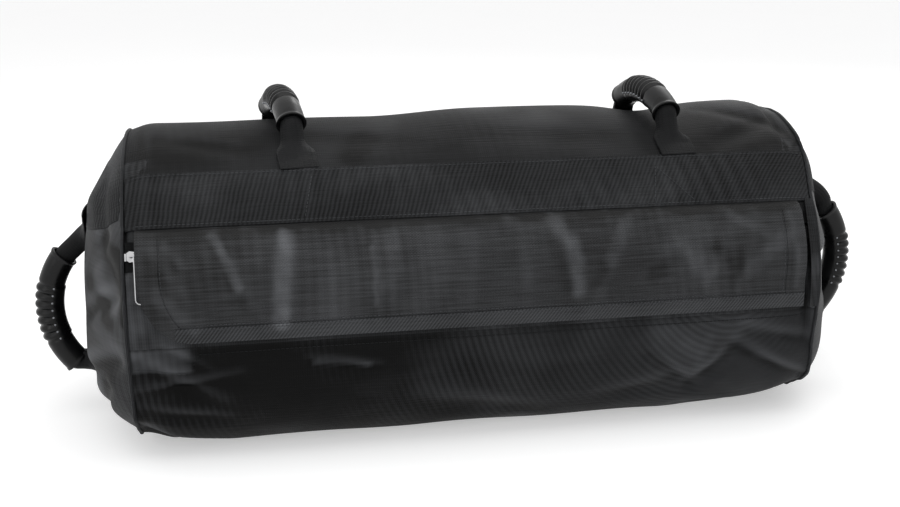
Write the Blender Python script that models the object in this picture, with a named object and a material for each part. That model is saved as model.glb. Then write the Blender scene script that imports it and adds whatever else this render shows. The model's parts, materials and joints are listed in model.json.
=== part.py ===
"""Sandbag trainer: a sewn duffel with a covered zip, four webbing handles and three filler bags.

The bag lies along X, its zip side faces -Y, and it stands on the floor at z = 0 with the origin
under its middle. All lengths are in metres and all angles in radians.
"""

import math

import bmesh
import bpy
from mathutils import Matrix, Vector

# The sewn bag
BAG_LENGTH = 0.680  # from end seam to end seam
BAG_RADIUS = 0.168  # of its round upper part
CENTRE_HEIGHT = 0.135  # of its widest line above the floor
BASE_FLATTENING = 0.010  # how far the floor pushes up the round base
BASE_POWER_SHARE = 3.0  # 2 is an ellipse, more is squarer
CLOTH = 0.002  # thickness of a padded panel
FIT_GAP = 0.0003  # left between two pieces that touch
FACET_ANGLE = math.radians(6)  # one flat of the round section
END_ROUNDING = 0.040  # length over which the base rises to each end seam
SEAM_LIFT = 0.006  # how far the base rises there
LIFT_BLEND_SHARE = 0.35  # sine of the angle below the widest line where the rise is full
BASE_SEAM_DISTANCE = -0.011  # along the cloth, from the widest line to the base panel's seam

# The domed ends and the piping round them
DOME_HEIGHT = 0.050
DOME_POWER_SHARE = 2.6  # how full an end panel is near its seam
DOME_LOW_POWER_SHARE = 4.5  # the same low down, where the filling presses out
DOME_LOW_BLEND_SHARE = 0.7  # sine of the angle below the widest line where that is reached
DOME_RING_SHARES = (1.0, 0.92, 0.83, 0.73, 0.62, 0.5, 0.37, 0.22, 0.0)
PIPING_RADIUS = 0.0025
PIPING_SIDES = 5

# The webbing bands that carry the handles
BAND_WIDTH = 0.060
BAND_THICKNESS = 0.0015
BAND_TOP_DISTANCE = 0.161  # along the cloth, from the widest line to the band's upper edge
BAND_END_GAP = 0.0008  # between a band's end and the piping
END_BAND_LOW_SHARE = 0.43  # of the bag's radius, from its widest line to the band's lower edge
END_BAND_RISE_SHARE = 0.2  # of the bag's radius, how much higher that edge is at the seam
END_BAND_REACH_SHARE = 0.95
END_BAND_ROWS = 4
END_BAND_COLUMNS = 16

# The zip
ZIP_BELOW_BAND = 0.025  # along the cloth, from the band's lower edge to the middle of the zip
ZIP_HALF_OPENING = 0.014  # from that middle to a panel's edge
TAPE_THICKNESS = 0.001
TAPE_DEPTH = 0.001  # from the outside of the cloth to the middle of the tape
CHAIN_WIDTH = 0.0024
CHAIN_THICKNESS = 0.003
CHAIN_SLIT = 0.0022  # between the two rows, where the slider's wedge runs
CHAIN_END_SETBACK = 0.0455  # from the right seam to the end of the chain, so the pull can lie past it
STOP_WIDTH = 0.0016
STOP_SETBACK = 0.0028  # from a chain's end or the left seam to the stop's outer side

# The slider and its wire pull
SLIDER_LENGTH = 0.013
SLIDER_WIDTH = 0.0105
SLIDER_PLATE = 0.0014
SLIDER_WEDGE = 0.0013
SLIDER_CLEARANCE = 0.0004
SLIDER_SETBACK = 0.0115  # from the left seam to the middle of the slider, zip closed
SLIDER_LENGTH_SHARES = (-0.5, -0.3, 0.1, 0.5)
SLIDER_WIDTH_SHARES = (0.66, 1.0, 0.8, 0.7)
BRIDGE_LEG = 0.0012
BRIDGE_CROWN = 0.0009
BRIDGE_WIDTH = 0.0016
BRIDGE_SPAN = 0.0075  # between the middles of its two legs
BRIDGE_SINK = 0.0005  # how far its feet reach into the plate
PULL_LENGTH = 0.044  # from the leg that it turns on to the far end
PULL_HALF_WIDTH = 0.004
PULL_WIRE_RADIUS = 0.0009
PULL_CLEARANCE = 0.0007
PULL_SIDES = 6
PULL_TURN_POINTS = 7

# The flap over the zip
FLAP_THICKNESS = 0.0015
FLAP_LOW_DISTANCE = -0.0056
FLAP_LEFT_SETBACK = 0.0125  # from the left seam to the flap's left edge
FLAP_RIGHT_SETBACK = 0.0187
FLAP_ROOT_STANDOFF = 0.0005
FLAP_BULGE = 0.0066
FLAP_BULGE_POWER_SHARE = 0.7
FLAP_FACET = 0.009
FLAP_CORNER_WIDTH = 0.045
FLAP_CORNER_HEIGHT = 0.0636
FLAP_COLUMN_SHARES = (0.0, 0.03, 0.1, 0.5, 0.9, 0.97, 1.0)
HEM_HEIGHT = 0.014
HEM_THICKNESS = 0.001
SIDE_HEM_WIDTH = 0.020
SIDE_HEM_COLUMN_SHARES = (0.0, 1.0)
SIDE_HEM_ROOT_GAP = 0.006
STRIP_THICKNESS = 0.0012
HOOK_LOW_DISTANCE = 0.001
HOOK_HEIGHT = 0.020
LOOP_LOW_DISTANCE = -0.001
LOOP_HEIGHT = 0.025
STRIP_END_SETBACK = 0.050

# The handles
WEBBING_WIDTH = 0.038
WEBBING_THICKNESS = 0.0022
GRIP_LENGTH = 0.1257  # along its curve
GRIP_WIDTH = 0.030
GRIP_DEPTH = 0.029
COLLAR_WIDTH = 0.0284
COLLAR_DEPTH = 0.0266
MOUTH_LIP = 0.0008
GROOVE_COUNT = 8
GROOVE_PITCH = 0.0082
GROOVE_WIDTH = 0.0034
GROOVE_DEPTH = 0.0018
GROOVE_END_SHARE = 0.45  # how far a groove runs round to the inner side of the grip
GROOVE_FADE_SHARE = 0.5  # how gently it ends there
GRIP_SIDES = 16
BORE_CLEARANCE = 0.0006
BORE_STATIONS = 9
CORNER_CUT = 0.0012  # off the corners of the folded webbing
FOOT_RADIUS = 0.0042  # of the rounded end on which the webbing turns
FOOT_SLOPE_ROOM = 0.0006
FOOT_RING_SHARES = ((-1.0, 0.25), (-0.75, 0.66), (0.0, 1.0))
STRAP_LEG_STATIONS = 6
STRAP_LEG_PULL_SHARE = 0.45
TOP_HANDLE_X = {"left": -0.185, "right": 0.205}
TOP_HANDLE_TURN = {"left": math.radians(7), "right": math.radians(3)}
TOP_FOOT_HALF_SPAN = 0.075
TOP_GRIP_RADIUS = 0.120  # of the curve that the grip is bent to
TOP_GRIP_RISE = 0.0325  # from the line through the feet to the middle of the grip
TOP_GRIP_SLIP = 0.0
END_FOOT_SETBACK = 0.008  # from the end band's lower edge to the upper foot
END_FOOT_LOW_SHARE = 0.34  # of the widest line's height, to the lower foot
END_FOOT_LOW_ROOM = 0.0005  # more, for the steeper slope under the lower foot
END_GRIP_RADIUS = 0.090
LEFT_GRIP_RISE = 0.040
LEFT_GRIP_SLIP = 0.008  # how far the grip has slid down its webbing
RIGHT_GRIP_RISE = 0.055  # its webbing is looser and stands out
RIGHT_GRIP_SLIP = -0.004  # and has pushed the grip up
ANCHOR_OVERLAP = 0.006  # how far the sewn webbing reaches past a foot
END_ANCHOR_LENGTH = 0.030
ANCHOR_ROWS = 5
ANCHOR_COLUMNS = 4

# The filler bags
FILLER_RADIUS = 0.0635
FILLER_LIFT = 0.0015  # by the curve of the base at its two sides
FILLER_LENGTH = 0.600
FILLER_SIDES = 24
FILLER_NECK_RADIUS = 0.045
FILLER_NECK_LENGTH = 0.024
FILLER_HEAD_LENGTH = 0.022
FILLER_SHOULDER = 0.055
FILLER_SHOULDER_SHARES = ((0.0, 0.0), (0.06, 0.42), (0.28, 0.74), (0.62, 0.94), (1.0, 1.0))
TIE_WIDTH = 0.020
TIE_THICKNESS = 0.002

MERGE_DISTANCE = 0.000001
NORMAL_STEP = math.radians(0.4)

HALF_LENGTH = BAG_LENGTH / 2
SEAM_X = HALF_LENGTH
BAND_LOW_DISTANCE = BAND_TOP_DISTANCE - BAND_WIDTH
ZIP_DISTANCE = BAND_LOW_DISTANCE - ZIP_BELOW_BAND
ZIP_ANGLE = ZIP_DISTANCE / BAG_RADIUS
FLAP_TOP_DISTANCE = BAND_LOW_DISTANCE - FIT_GAP - FLAP_THICKNESS / 2
FLAP_STRIP_STANDOFF = 2 * STRIP_THICKNESS + 3 * FIT_GAP
END_BAND_LOW = CENTRE_HEIGHT + BAG_RADIUS * END_BAND_LOW_SHARE
END_BAND_RISE = BAG_RADIUS * END_BAND_RISE_SHARE
END_FOOT_HIGH = END_BAND_LOW - END_FOOT_SETBACK
END_FOOT_LOW = CENTRE_HEIGHT * END_FOOT_LOW_SHARE
SIDES = {"left": -1, "right": 1}

# How each grip lies: the radius of its curve, its rise over the feet and its slip
TOP_BEND = (TOP_GRIP_RADIUS, TOP_GRIP_RISE, TOP_GRIP_SLIP)
END_BENDS = {
    "left": (END_GRIP_RADIUS, LEFT_GRIP_RISE, LEFT_GRIP_SLIP),
    "right": (END_GRIP_RADIUS, RIGHT_GRIP_RISE, RIGHT_GRIP_SLIP),
}


def material(name, colour, roughness, metallic=0.0):
    made = bpy.data.materials.new(name)
    made.use_nodes = True
    shader = made.node_tree.nodes["Principled BSDF"]
    shader.inputs["Base Color"].default_value = (*colour, 1.0)
    shader.inputs["Roughness"].default_value = roughness
    shader.inputs["Metallic"].default_value = metallic
    made.diffuse_color = (*colour, 1.0)
    return made


def smooth(share):
    share = min(max(share, 0.0), 1.0)
    return share * share * (3.0 - 2.0 * share)


def finish(name, mesh_maker, made_material, origin=None, parent=None):
    """Turns a bmesh into a named object, with its normals out and its origin at the given matrix."""
    bmesh.ops.remove_doubles(mesh_maker, verts=mesh_maker.verts, dist=MERGE_DISTANCE)
    bmesh.ops.recalc_face_normals(mesh_maker, faces=mesh_maker.faces)
    mesh = bpy.data.meshes.new(name)
    mesh_maker.to_mesh(mesh)
    mesh_maker.free()
    mesh.materials.append(made_material)
    mesh.shade_smooth()
    mesh.set_sharp_from_angle(angle=math.radians(35))
    obj = bpy.data.objects.new(name, mesh)
    bpy.context.scene.collection.objects.link(obj)
    place = origin or Matrix.Identity(4)
    mesh.transform(place.inverted())
    if parent is None:
        obj.matrix_world = place
    else:
        obj.parent = parent
        obj.matrix_parent_inverse = parent.matrix_world.inverted()
        obj.matrix_world = place
    return obj


def joint_empty(name, place):
    empty = bpy.data.objects.new(name, None)
    bpy.context.scene.collection.objects.link(empty)
    empty.matrix_world = place
    bpy.context.view_layer.update()
    return empty


def add_strip(mesh_maker, first, second, closed):
    """Quads between two rows of points."""
    count = len(first)
    for index in range(count if closed else count - 1):
        after = (index + 1) % count
        mesh_maker.faces.new((first[index], first[after], second[after], second[index]))


def sheet_mesh(outer, inner, closed=False):
    """A closed solid between two grids of points, each a list of rows. A closed grid's rows are rings."""
    mesh_maker = bmesh.new()
    outer = [[mesh_maker.verts.new(point) for point in row] for row in outer]
    inner = [[mesh_maker.verts.new(point) for point in row] for row in inner]
    for above, below in zip(outer, outer[1:]):
        add_strip(mesh_maker, above, below, closed)
    for above, below in zip(inner, inner[1:]):
        add_strip(mesh_maker, below, above, closed)
    for row in (0, -1):
        if outer[row][0].co != outer[row][1].co:
            add_strip(mesh_maker, outer[row], inner[row], closed)
    if not closed:
        for column in (0, -1):
            outer_side = [row[column] for row in outer]
            inner_side = [row[column] for row in inner]
            add_strip(mesh_maker, outer_side, inner_side, False)
    return mesh_maker


def loft_mesh(rings, capped=True):
    """A closed solid through rings of points. Without caps the last ring joins the first."""
    mesh_maker = bmesh.new()
    rings = [[mesh_maker.verts.new(point) for point in ring] for ring in rings]
    for first, second in zip(rings, rings[1:]):
        add_strip(mesh_maker, first, second, True)
    if capped:
        mesh_maker.faces.new(rings[0])
        mesh_maker.faces.new(rings[-1])
    else:
        add_strip(mesh_maker, rings[-1], rings[0], True)
    return mesh_maker


def section_radius(angle):
    """Distance from the section's centre to its outline, at an angle above the front horizontal."""
    rise = math.sin(angle)
    if rise >= 0.0:
        return BAG_RADIUS
    across = abs(math.cos(angle)) / BAG_RADIUS
    down = -rise / (CENTRE_HEIGHT + BASE_FLATTENING)
    power = BASE_POWER_SHARE
    rounded = (across**power + down**power) ** (-1.0 / power)
    return min(rounded, CENTRE_HEIGHT / -rise)


def section_point(angle):
    radius = section_radius(angle)
    return Vector((0.0, -radius * math.cos(angle), CENTRE_HEIGHT + radius * math.sin(angle)))


def section_normal(angle):
    along = section_point(angle + NORMAL_STEP) - section_point(angle - NORMAL_STEP)
    return along.cross(Vector((1.0, 0.0, 0.0))).normalized() * -1.0


def seam_lift(x, angle):
    near_end = smooth((abs(x) - HALF_LENGTH + END_ROUNDING) / END_ROUNDING)
    return SEAM_LIFT * near_end * smooth(-math.sin(angle) / LIFT_BLEND_SHARE)


def bag_point(x, angle, offset=0.0):
    """A point at an offset outside the bag's cloth."""
    out = offset - seam_lift(x, angle)
    point = section_point(angle) + section_normal(angle) * out
    return Vector((x, point.y, point.z))


def bag_angle(arc):
    return arc / BAG_RADIUS


def cuts_between(start, end, step):
    """The start, the whole multiples of a step inside, and the end."""
    low, high = min(start, end), max(start, end)
    tiny = step / 50
    inside = [
        index * step
        for index in range(math.floor(low / step), math.ceil(high / step) + 1)
        if low + tiny < index * step < high - tiny
    ]
    cuts = [low, *inside, high]
    return cuts if start <= end else cuts[::-1]


def lengthwise(start, end):
    """Places along the bag where a sheet on it needs a row of points."""
    bend = HALF_LENGTH - END_ROUNDING
    middle = HALF_LENGTH - END_ROUNDING / 2
    marks = [-middle, -bend, 0.0, bend, middle]
    return [start, *[mark for mark in marks if start < mark < end], end]


def bag_sheet(name, ends, angles, offsets, made_material):
    """A sheet lying on the bag between two offsets from its cloth."""
    places = lengthwise(*ends)
    cuts = cuts_between(*angles, FACET_ANGLE)
    grids = [[[bag_point(x, angle, offset) for angle in cuts] for x in places] for offset in offsets[::-1]]
    return finish(name, sheet_mesh(*grids), made_material)


def make_panels(cloth, base_cloth):
    """The three panels of the tube: over the top, below the zip, and under the bag."""
    half_gap = FIT_GAP / 2
    ends = (-SEAM_X + half_gap, SEAM_X - half_gap)
    edge = bag_angle(half_gap)
    seam = bag_angle(BASE_SEAM_DISTANCE)
    zip_low = bag_angle(ZIP_DISTANCE - ZIP_HALF_OPENING)
    zip_high = bag_angle(ZIP_DISTANCE + ZIP_HALF_OPENING)
    offsets = (-CLOTH, 0.0)
    bag_sheet("top_panel", ends, (zip_high, math.pi - seam - edge), offsets, cloth)
    bag_sheet("front_panel", ends, (seam + edge, zip_low), offsets, cloth)
    bag_sheet("base_panel", ends, (-math.pi - seam + edge, seam - edge), offsets, base_cloth)


def ring_angles():
    return [index * FACET_ANGLE for index in range(round(2 * math.pi / FACET_ANGLE))]


def dome_fall(share, angle):
    """How far an end panel has fallen back from its middle, 0 to 1."""
    low = smooth(-math.sin(angle) / DOME_LOW_BLEND_SHARE)
    return share ** (DOME_POWER_SHARE + (DOME_LOW_POWER_SHARE - DOME_POWER_SHARE) * low)


def dome_point(side, share, angle, inset):
    """A point of an end panel, from its rim (share 1) to its middle (share 0)."""
    rim = bag_point(SEAM_X, angle, -inset)
    height = FIT_GAP / 2 + (DOME_HEIGHT - inset) * (1.0 - dome_fall(share, angle))
    return Vector((side * (SEAM_X + height), share * rim.y, CENTRE_HEIGHT + share * (rim.z - CENTRE_HEIGHT)))


def make_ends(cloth, trim):
    for word, side in SIDES.items():
        grids = [
            [[dome_point(side, share, angle, inset) for angle in ring_angles()] for share in DOME_RING_SHARES]
            for inset in (0.0, CLOTH)
        ]
        finish(f"end_panel_{word}", sheet_mesh(*grids, closed=True), cloth)
        rings = []
        for angle in ring_angles():
            middle = bag_point(side * SEAM_X, angle, FIT_GAP + PIPING_RADIUS)
            out = section_normal(angle)
            along = Vector((1.0, 0.0, 0.0))
            turns = [2 * math.pi * index / PIPING_SIDES for index in range(PIPING_SIDES)]
            rings.append(
                [middle + (out * -math.cos(turn) + along * math.sin(turn)) * PIPING_RADIUS for turn in turns]
            )
        finish(f"piping_{word}", loft_mesh(rings, capped=False), trim)


def on_dome(side, y, z, offset):
    """A point at an offset outside an end panel, straight out from a place given by y and z."""
    from_middle = Vector((0.0, y, z - CENTRE_HEIGHT))
    angle = math.atan2(z - CENTRE_HEIGHT, -y)
    rim = bag_point(SEAM_X, angle) - Vector((SEAM_X, 0.0, CENTRE_HEIGHT))
    share = from_middle.length / rim.length
    height = FIT_GAP / 2 + DOME_HEIGHT * (1.0 - dome_fall(share, angle))
    return Vector((side * (SEAM_X + height + offset), y, z))


def make_bands(webbing):
    angles = (bag_angle(BAND_LOW_DISTANCE), bag_angle(BAND_TOP_DISTANCE))
    reach = SEAM_X - PIPING_RADIUS - BAND_END_GAP
    offsets = (FIT_GAP, FIT_GAP + BAND_THICKNESS)
    bag_sheet("band_front", (-reach, reach), angles, offsets, webbing)
    back = (math.pi - angles[1], math.pi - angles[0])
    bag_sheet("band_rear", (-reach, reach), back, offsets, webbing)
    for word, side in SIDES.items():
        grids = []
        for offset in offsets[::-1]:
            grid = []
            for row in range(END_BAND_ROWS + 1):
                low = END_BAND_LOW + BAND_WIDTH * row / END_BAND_ROWS - CENTRE_HEIGHT
                line = []
                for column in range(END_BAND_COLUMNS + 1):
                    across = 2.0 * column / END_BAND_COLUMNS - 1.0
                    height = low + END_BAND_RISE * across * across * (1.0 - row / END_BAND_ROWS / 2.0)
                    half_chord = math.sqrt(BAG_RADIUS**2 - height**2) * END_BAND_REACH_SHARE
                    line.append(on_dome(side, half_chord * across, CENTRE_HEIGHT + height, offset))
                grid.append(line)
            grids.append(grid)
        finish(f"end_band_{word}", sheet_mesh(*grids), webbing)


def zip_frame(x):
    """Axes at the middle of the zip: along it, up the slope, and out of the bag."""
    middle = bag_point(x, ZIP_ANGLE, -TAPE_DEPTH)
    along = Vector((1.0, 0.0, 0.0))
    out = section_normal(ZIP_ANGLE)
    up = out.cross(along)
    return Matrix.Translation(middle) @ Matrix((along, up, out)).transposed().to_4x4()


def zip_bar(name, ends, across, heights, made_material):
    """A straight bar along the zip, given by its edges in the zip's own axes."""
    place = zip_frame(0.0)
    rings = [
        [
            place @ Vector((x, across[0], heights[0])),
            place @ Vector((x, across[1], heights[0])),
            place @ Vector((x, across[1], heights[1])),
            place @ Vector((x, across[0], heights[1])),
        ]
        for x in ends
    ]
    return finish(name, loft_mesh(rings), made_material)


def make_zip(cloth, nylon, metal):
    left = -SEAM_X + STOP_SETBACK + STOP_WIDTH
    right = SEAM_X - CHAIN_END_SETBACK
    reach = SEAM_X - PIPING_RADIUS - BAND_END_GAP
    inner = CHAIN_SLIT / 2
    outer = inner + CHAIN_WIDTH
    half_chain = CHAIN_THICKNESS / 2
    half_tape = TAPE_THICKNESS / 2
    edge = ZIP_HALF_OPENING - FIT_GAP
    for word, way in (("upper", 1), ("lower", -1)):
        tape = (way * (outer + FIT_GAP), way * edge)
        zip_bar(f"zip_tape_{word}", (-reach, reach), tape, (-half_tape, half_tape), cloth)
        chain = (way * inner, way * outer)
        chain_ends = (left + FIT_GAP, right)
        zip_bar(f"zip_chain_{word}", chain_ends, chain, (-half_chain, half_chain), nylon)
    across = (-outer, outer)
    heights = (-half_chain, half_tape)
    zip_bar("zip_stop_left", (left - STOP_WIDTH, left), across, heights, metal)
    stop = right + FIT_GAP
    zip_bar("zip_stop_right", (stop, stop + STOP_WIDTH), across, heights, metal)


def slider_ring(x, half_width):
    """The slider's I-shaped section: two plates and the wedge between them."""
    wedge = SLIDER_WEDGE / 2
    low = CHAIN_THICKNESS / 2 + SLIDER_CLEARANCE
    high = low + SLIDER_PLATE
    quarter = [(half_width, high), (half_width, low), (wedge, low)]
    right = quarter + [(across, -height) for across, height in reversed(quarter)]
    left = [(-across, height) for across, height in reversed(right)]
    return [Vector((x, across, height)) for across, height in right + left]


def make_slider(metal):
    place = zip_frame(-SEAM_X + SLIDER_SETBACK)
    rings = [
        slider_ring(SLIDER_LENGTH * along, SLIDER_WIDTH / 2 * across)
        for along, across in zip(SLIDER_LENGTH_SHARES, SLIDER_WIDTH_SHARES)
    ]
    rings = [[place @ point for point in ring] for ring in rings]
    slider = finish("zip_slider", loft_mesh(rings), metal, origin=place)

    plate_top = CHAIN_THICKNESS / 2 + SLIDER_CLEARANCE + SLIDER_PLATE
    crown_low = plate_top + 2 * PULL_CLEARANCE + 2 * PULL_WIRE_RADIUS
    crown_high = crown_low + BRIDGE_CROWN
    foot = plate_top - BRIDGE_SINK
    outside = (BRIDGE_SPAN + BRIDGE_LEG) / 2
    inside = (BRIDGE_SPAN - BRIDGE_LEG) / 2
    half = [(outside, foot), (outside, crown_high)]
    hollow = [(inside, crown_low), (inside, foot)]
    outline = half + [(-x, z) for x, z in reversed(half)] + [(-x, z) for x, z in reversed(hollow)] + hollow
    rings = [
        [place @ Vector((x, across, height)) for x, height in outline]
        for across in (-BRIDGE_WIDTH / 2, BRIDGE_WIDTH / 2)
    ]
    bridge = finish("slider_bridge_cutter", loft_mesh(rings), metal, origin=place)
    bridge.hide_render = True
    bridge.display_type = "WIRE"
    union = slider.modifiers.new("bridge", "BOOLEAN")
    union.operation = "UNION"
    union.object = bridge


def pull_frame():
    """Axes of the wire pull at the slider leg that it turns on: across, up, and out of the bag."""
    height = CHAIN_THICKNESS / 2 + SLIDER_CLEARANCE + SLIDER_PLATE + PULL_CLEARANCE + PULL_WIRE_RADIUS
    place = zip_frame(-SEAM_X + SLIDER_SETBACK)
    leg = Matrix.Translation(Vector((BRIDGE_SPAN / 2, 0.0, height)))
    lean = Matrix.Rotation(PULL_LENGTH / (2 * BAG_RADIUS), 4, "X")
    return place @ leg @ lean


def make_pull(metal):
    """A long wire loop, round the slider's leg at one end, that hangs down the cloth."""
    place = pull_frame()
    turn_points = [math.pi * index / (PULL_TURN_POINTS - 1) for index in range(PULL_TURN_POINTS)]
    low = -PULL_LENGTH + PULL_HALF_WIDTH
    path = [(PULL_HALF_WIDTH * math.cos(turn), PULL_HALF_WIDTH * math.sin(turn)) for turn in turn_points]
    path += [(-across, low - up) for across, up in path]
    rings = []
    for index, (across, up) in enumerate(path):
        before = path[index - 1]
        after = path[(index + 1) % len(path)]
        ahead = Vector((after[0] - before[0], after[1] - before[1], 0.0)).normalized()
        aside = Vector((ahead.y, -ahead.x, 0.0))
        out = Vector((0.0, 0.0, 1.0))
        ring = []
        for side in range(PULL_SIDES):
            turn = 2 * math.pi * side / PULL_SIDES
            away = (aside * math.cos(turn) + out * math.sin(turn)) * PULL_WIRE_RADIUS
            ring.append(place @ (Vector((across, up, 0.0)) + away))
        rings.append(ring)
    finish("zip_pull", loft_mesh(rings, capped=False), metal, origin=place)


def flap_standoff(arc):
    """Height of the flap's inner face over the cloth: low at its root and its hem, higher over the zip."""
    strip_top = LOOP_LOW_DISTANCE + LOOP_HEIGHT
    share = min(max((FLAP_TOP_DISTANCE - arc) / (FLAP_TOP_DISTANCE - strip_top), 0.0), 1.0)
    level = FLAP_ROOT_STANDOFF + (FLAP_STRIP_STANDOFF - FLAP_ROOT_STANDOFF) * share
    return level + FLAP_BULGE * max(math.sin(math.pi * share), 0.0) ** FLAP_BULGE_POWER_SHARE


def flap_point(x, arc, level):
    return bag_point(x, bag_angle(arc), flap_standoff(arc) + level)


def flap_left(arc):
    """The flap's left edge, which rounds in to its lower corner."""
    start = -SEAM_X + FLAP_LEFT_SETBACK
    drop = (FLAP_LOW_DISTANCE + FLAP_CORNER_HEIGHT - arc) / FLAP_CORNER_HEIGHT
    drop = min(max(drop, 0.0), 1.0)
    return start + FLAP_CORNER_WIDTH * (1.0 - math.sqrt(1.0 - drop * drop))


def flap_sheet(name, arcs, reach, columns, levels, made_material, hinge, parent):
    """A sheet on the flap. Its reach gives the two ends at each arc."""
    grids = []
    for level in levels[::-1]:
        grid = []
        for arc in cuts_between(*arcs, FLAP_FACET):
            start, end = reach(arc)
            grid.append([flap_point(start + (end - start) * share, arc, level) for share in columns])
        grids.append(grid)
    return finish(name, sheet_mesh(*grids), made_material, origin=hinge, parent=parent)


def make_flap(cloth, trim, hook):
    hinge = Matrix.Translation(flap_point(0.0, FLAP_TOP_DISTANCE, FLAP_THICKNESS / 2))
    parent = joint_empty("flap_hinge_axis", hinge)
    right = SEAM_X - FLAP_RIGHT_SETBACK
    hem_top = FLAP_LOW_DISTANCE + HEM_HEIGHT
    skin = FLAP_THICKNESS + FIT_GAP
    hem_levels = (skin, skin + HEM_THICKNESS)

    def whole(arc):
        return flap_left(arc), right

    def left_side(arc):
        return flap_left(arc), flap_left(arc) + SIDE_HEM_WIDTH

    def right_side(arc):
        return right - SIDE_HEM_WIDTH, right

    def strip(arc):
        return -SEAM_X + STRIP_END_SETBACK, SEAM_X - STRIP_END_SETBACK

    shares = FLAP_COLUMN_SHARES
    levels = (0.0, FLAP_THICKNESS)
    flap_sheet("flap_panel", (FLAP_LOW_DISTANCE, FLAP_TOP_DISTANCE), whole, shares, levels, cloth, hinge, parent)
    flap_sheet("flap_hem", (FLAP_LOW_DISTANCE, hem_top), whole, shares, hem_levels, trim, hinge, parent)
    side_arcs = (hem_top + FIT_GAP, FLAP_TOP_DISTANCE - SIDE_HEM_ROOT_GAP)
    pair = SIDE_HEM_COLUMN_SHARES
    flap_sheet("flap_edge_left", side_arcs, left_side, pair, hem_levels, trim, hinge, parent)
    flap_sheet("flap_edge_right", side_arcs, right_side, pair, hem_levels, trim, hinge, parent)
    hook_arcs = (HOOK_LOW_DISTANCE, HOOK_LOW_DISTANCE + HOOK_HEIGHT)
    hook_levels = (-FIT_GAP - STRIP_THICKNESS, -FIT_GAP)
    flap_sheet("hook_strip", hook_arcs, strip, pair, hook_levels, hook, hinge, parent)
    loop_angles = (bag_angle(LOOP_LOW_DISTANCE), bag_angle(LOOP_LOW_DISTANCE + LOOP_HEIGHT))
    bag_sheet("loop_strip", strip(0.0), loop_angles, (FIT_GAP, FIT_GAP + STRIP_THICKNESS), hook)


def handle_place(foot, other_foot, outward):
    """Axes midway between a handle's feet: aside, towards the first foot, and outward."""
    up = (foot - other_foot).normalized()
    aside = up.cross(outward).normalized()
    out = aside.cross(up)
    return Matrix.Translation((foot + other_foot) / 2) @ Matrix((aside, up, out)).transposed().to_4x4()


def arc_station(turn, bend):
    """A point of the grip's middle line, with its direction, in the handle's own axes."""
    radius, rise, slip = bend
    point = Vector((0.0, radius * math.sin(turn) - slip, rise - radius * (1.0 - math.cos(turn))))
    ahead = Vector((0.0, math.cos(turn), -math.sin(turn)))
    return point, ahead


def webbing_section(half_width, half_depth):
    cut = min(CORNER_CUT, half_width / 2, half_depth / 2)
    corner = [(half_width, half_depth - cut), (half_width - cut, half_depth)]
    upper = corner + [(-across, depth) for across, depth in reversed(corner)]
    return upper + [(-across, -depth) for across, depth in upper]


def ring_at(point, ahead, section):
    """A ring of points about a point of the path, square to its direction."""
    aside = Vector((1.0, 0.0, 0.0))
    out = aside.cross(ahead)
    return [point + aside * across + out * depth for across, depth in section]


def oval_section(half_width, half_depth, groove):
    """An oval that is cut by a groove of some depth on its outer side."""
    section = []
    for index in range(GRIP_SIDES):
        turn = 2 * math.pi * index / GRIP_SIDES
        cut = groove * smooth((math.sin(turn) + GROOVE_END_SHARE) / GROOVE_FADE_SHARE)
        section.append(((half_width - cut) * math.cos(turn), (half_depth - cut) * math.sin(turn)))
    return section


def grip_profile():
    """(distance, half width, half depth, groove) along the grip: a lip, a collar, the grooves, and back."""
    half_length = GRIP_LENGTH / 2
    grooves_half = (GROOVE_COUNT - 1) * GROOVE_PITCH / 2
    collar = (COLLAR_WIDTH / 2, COLLAR_DEPTH / 2)
    lip = (collar[0] + MOUTH_LIP, collar[1] + MOUTH_LIP)
    full = (GRIP_WIDTH / 2, GRIP_DEPTH / 2)
    half_groove = GROOVE_WIDTH / 2
    start = [(half_length, lip), (half_length - MOUTH_LIP * 2, lip), (half_length - MOUTH_LIP * 3, collar)]
    stations = [(-place, *size, 0.0) for place, size in start]
    for number in range(GROOVE_COUNT):
        middle = number * GROOVE_PITCH - grooves_half
        before = full if number else collar
        after = full if number < GROOVE_COUNT - 1 else collar
        stations.append((middle - half_groove, *before, 0.0))
        stations.append((middle, *full, GROOVE_DEPTH))
        stations.append((middle + half_groove, *after, 0.0))
    stations += [(place, *size, 0.0) for place, size in reversed(start)]
    return stations


def bore_turns(bend):
    half_turn = GRIP_LENGTH / 2 / bend[0]
    return [half_turn * (2.0 * index / (BORE_STATIONS - 1) - 1.0) for index in range(BORE_STATIONS)]


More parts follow.
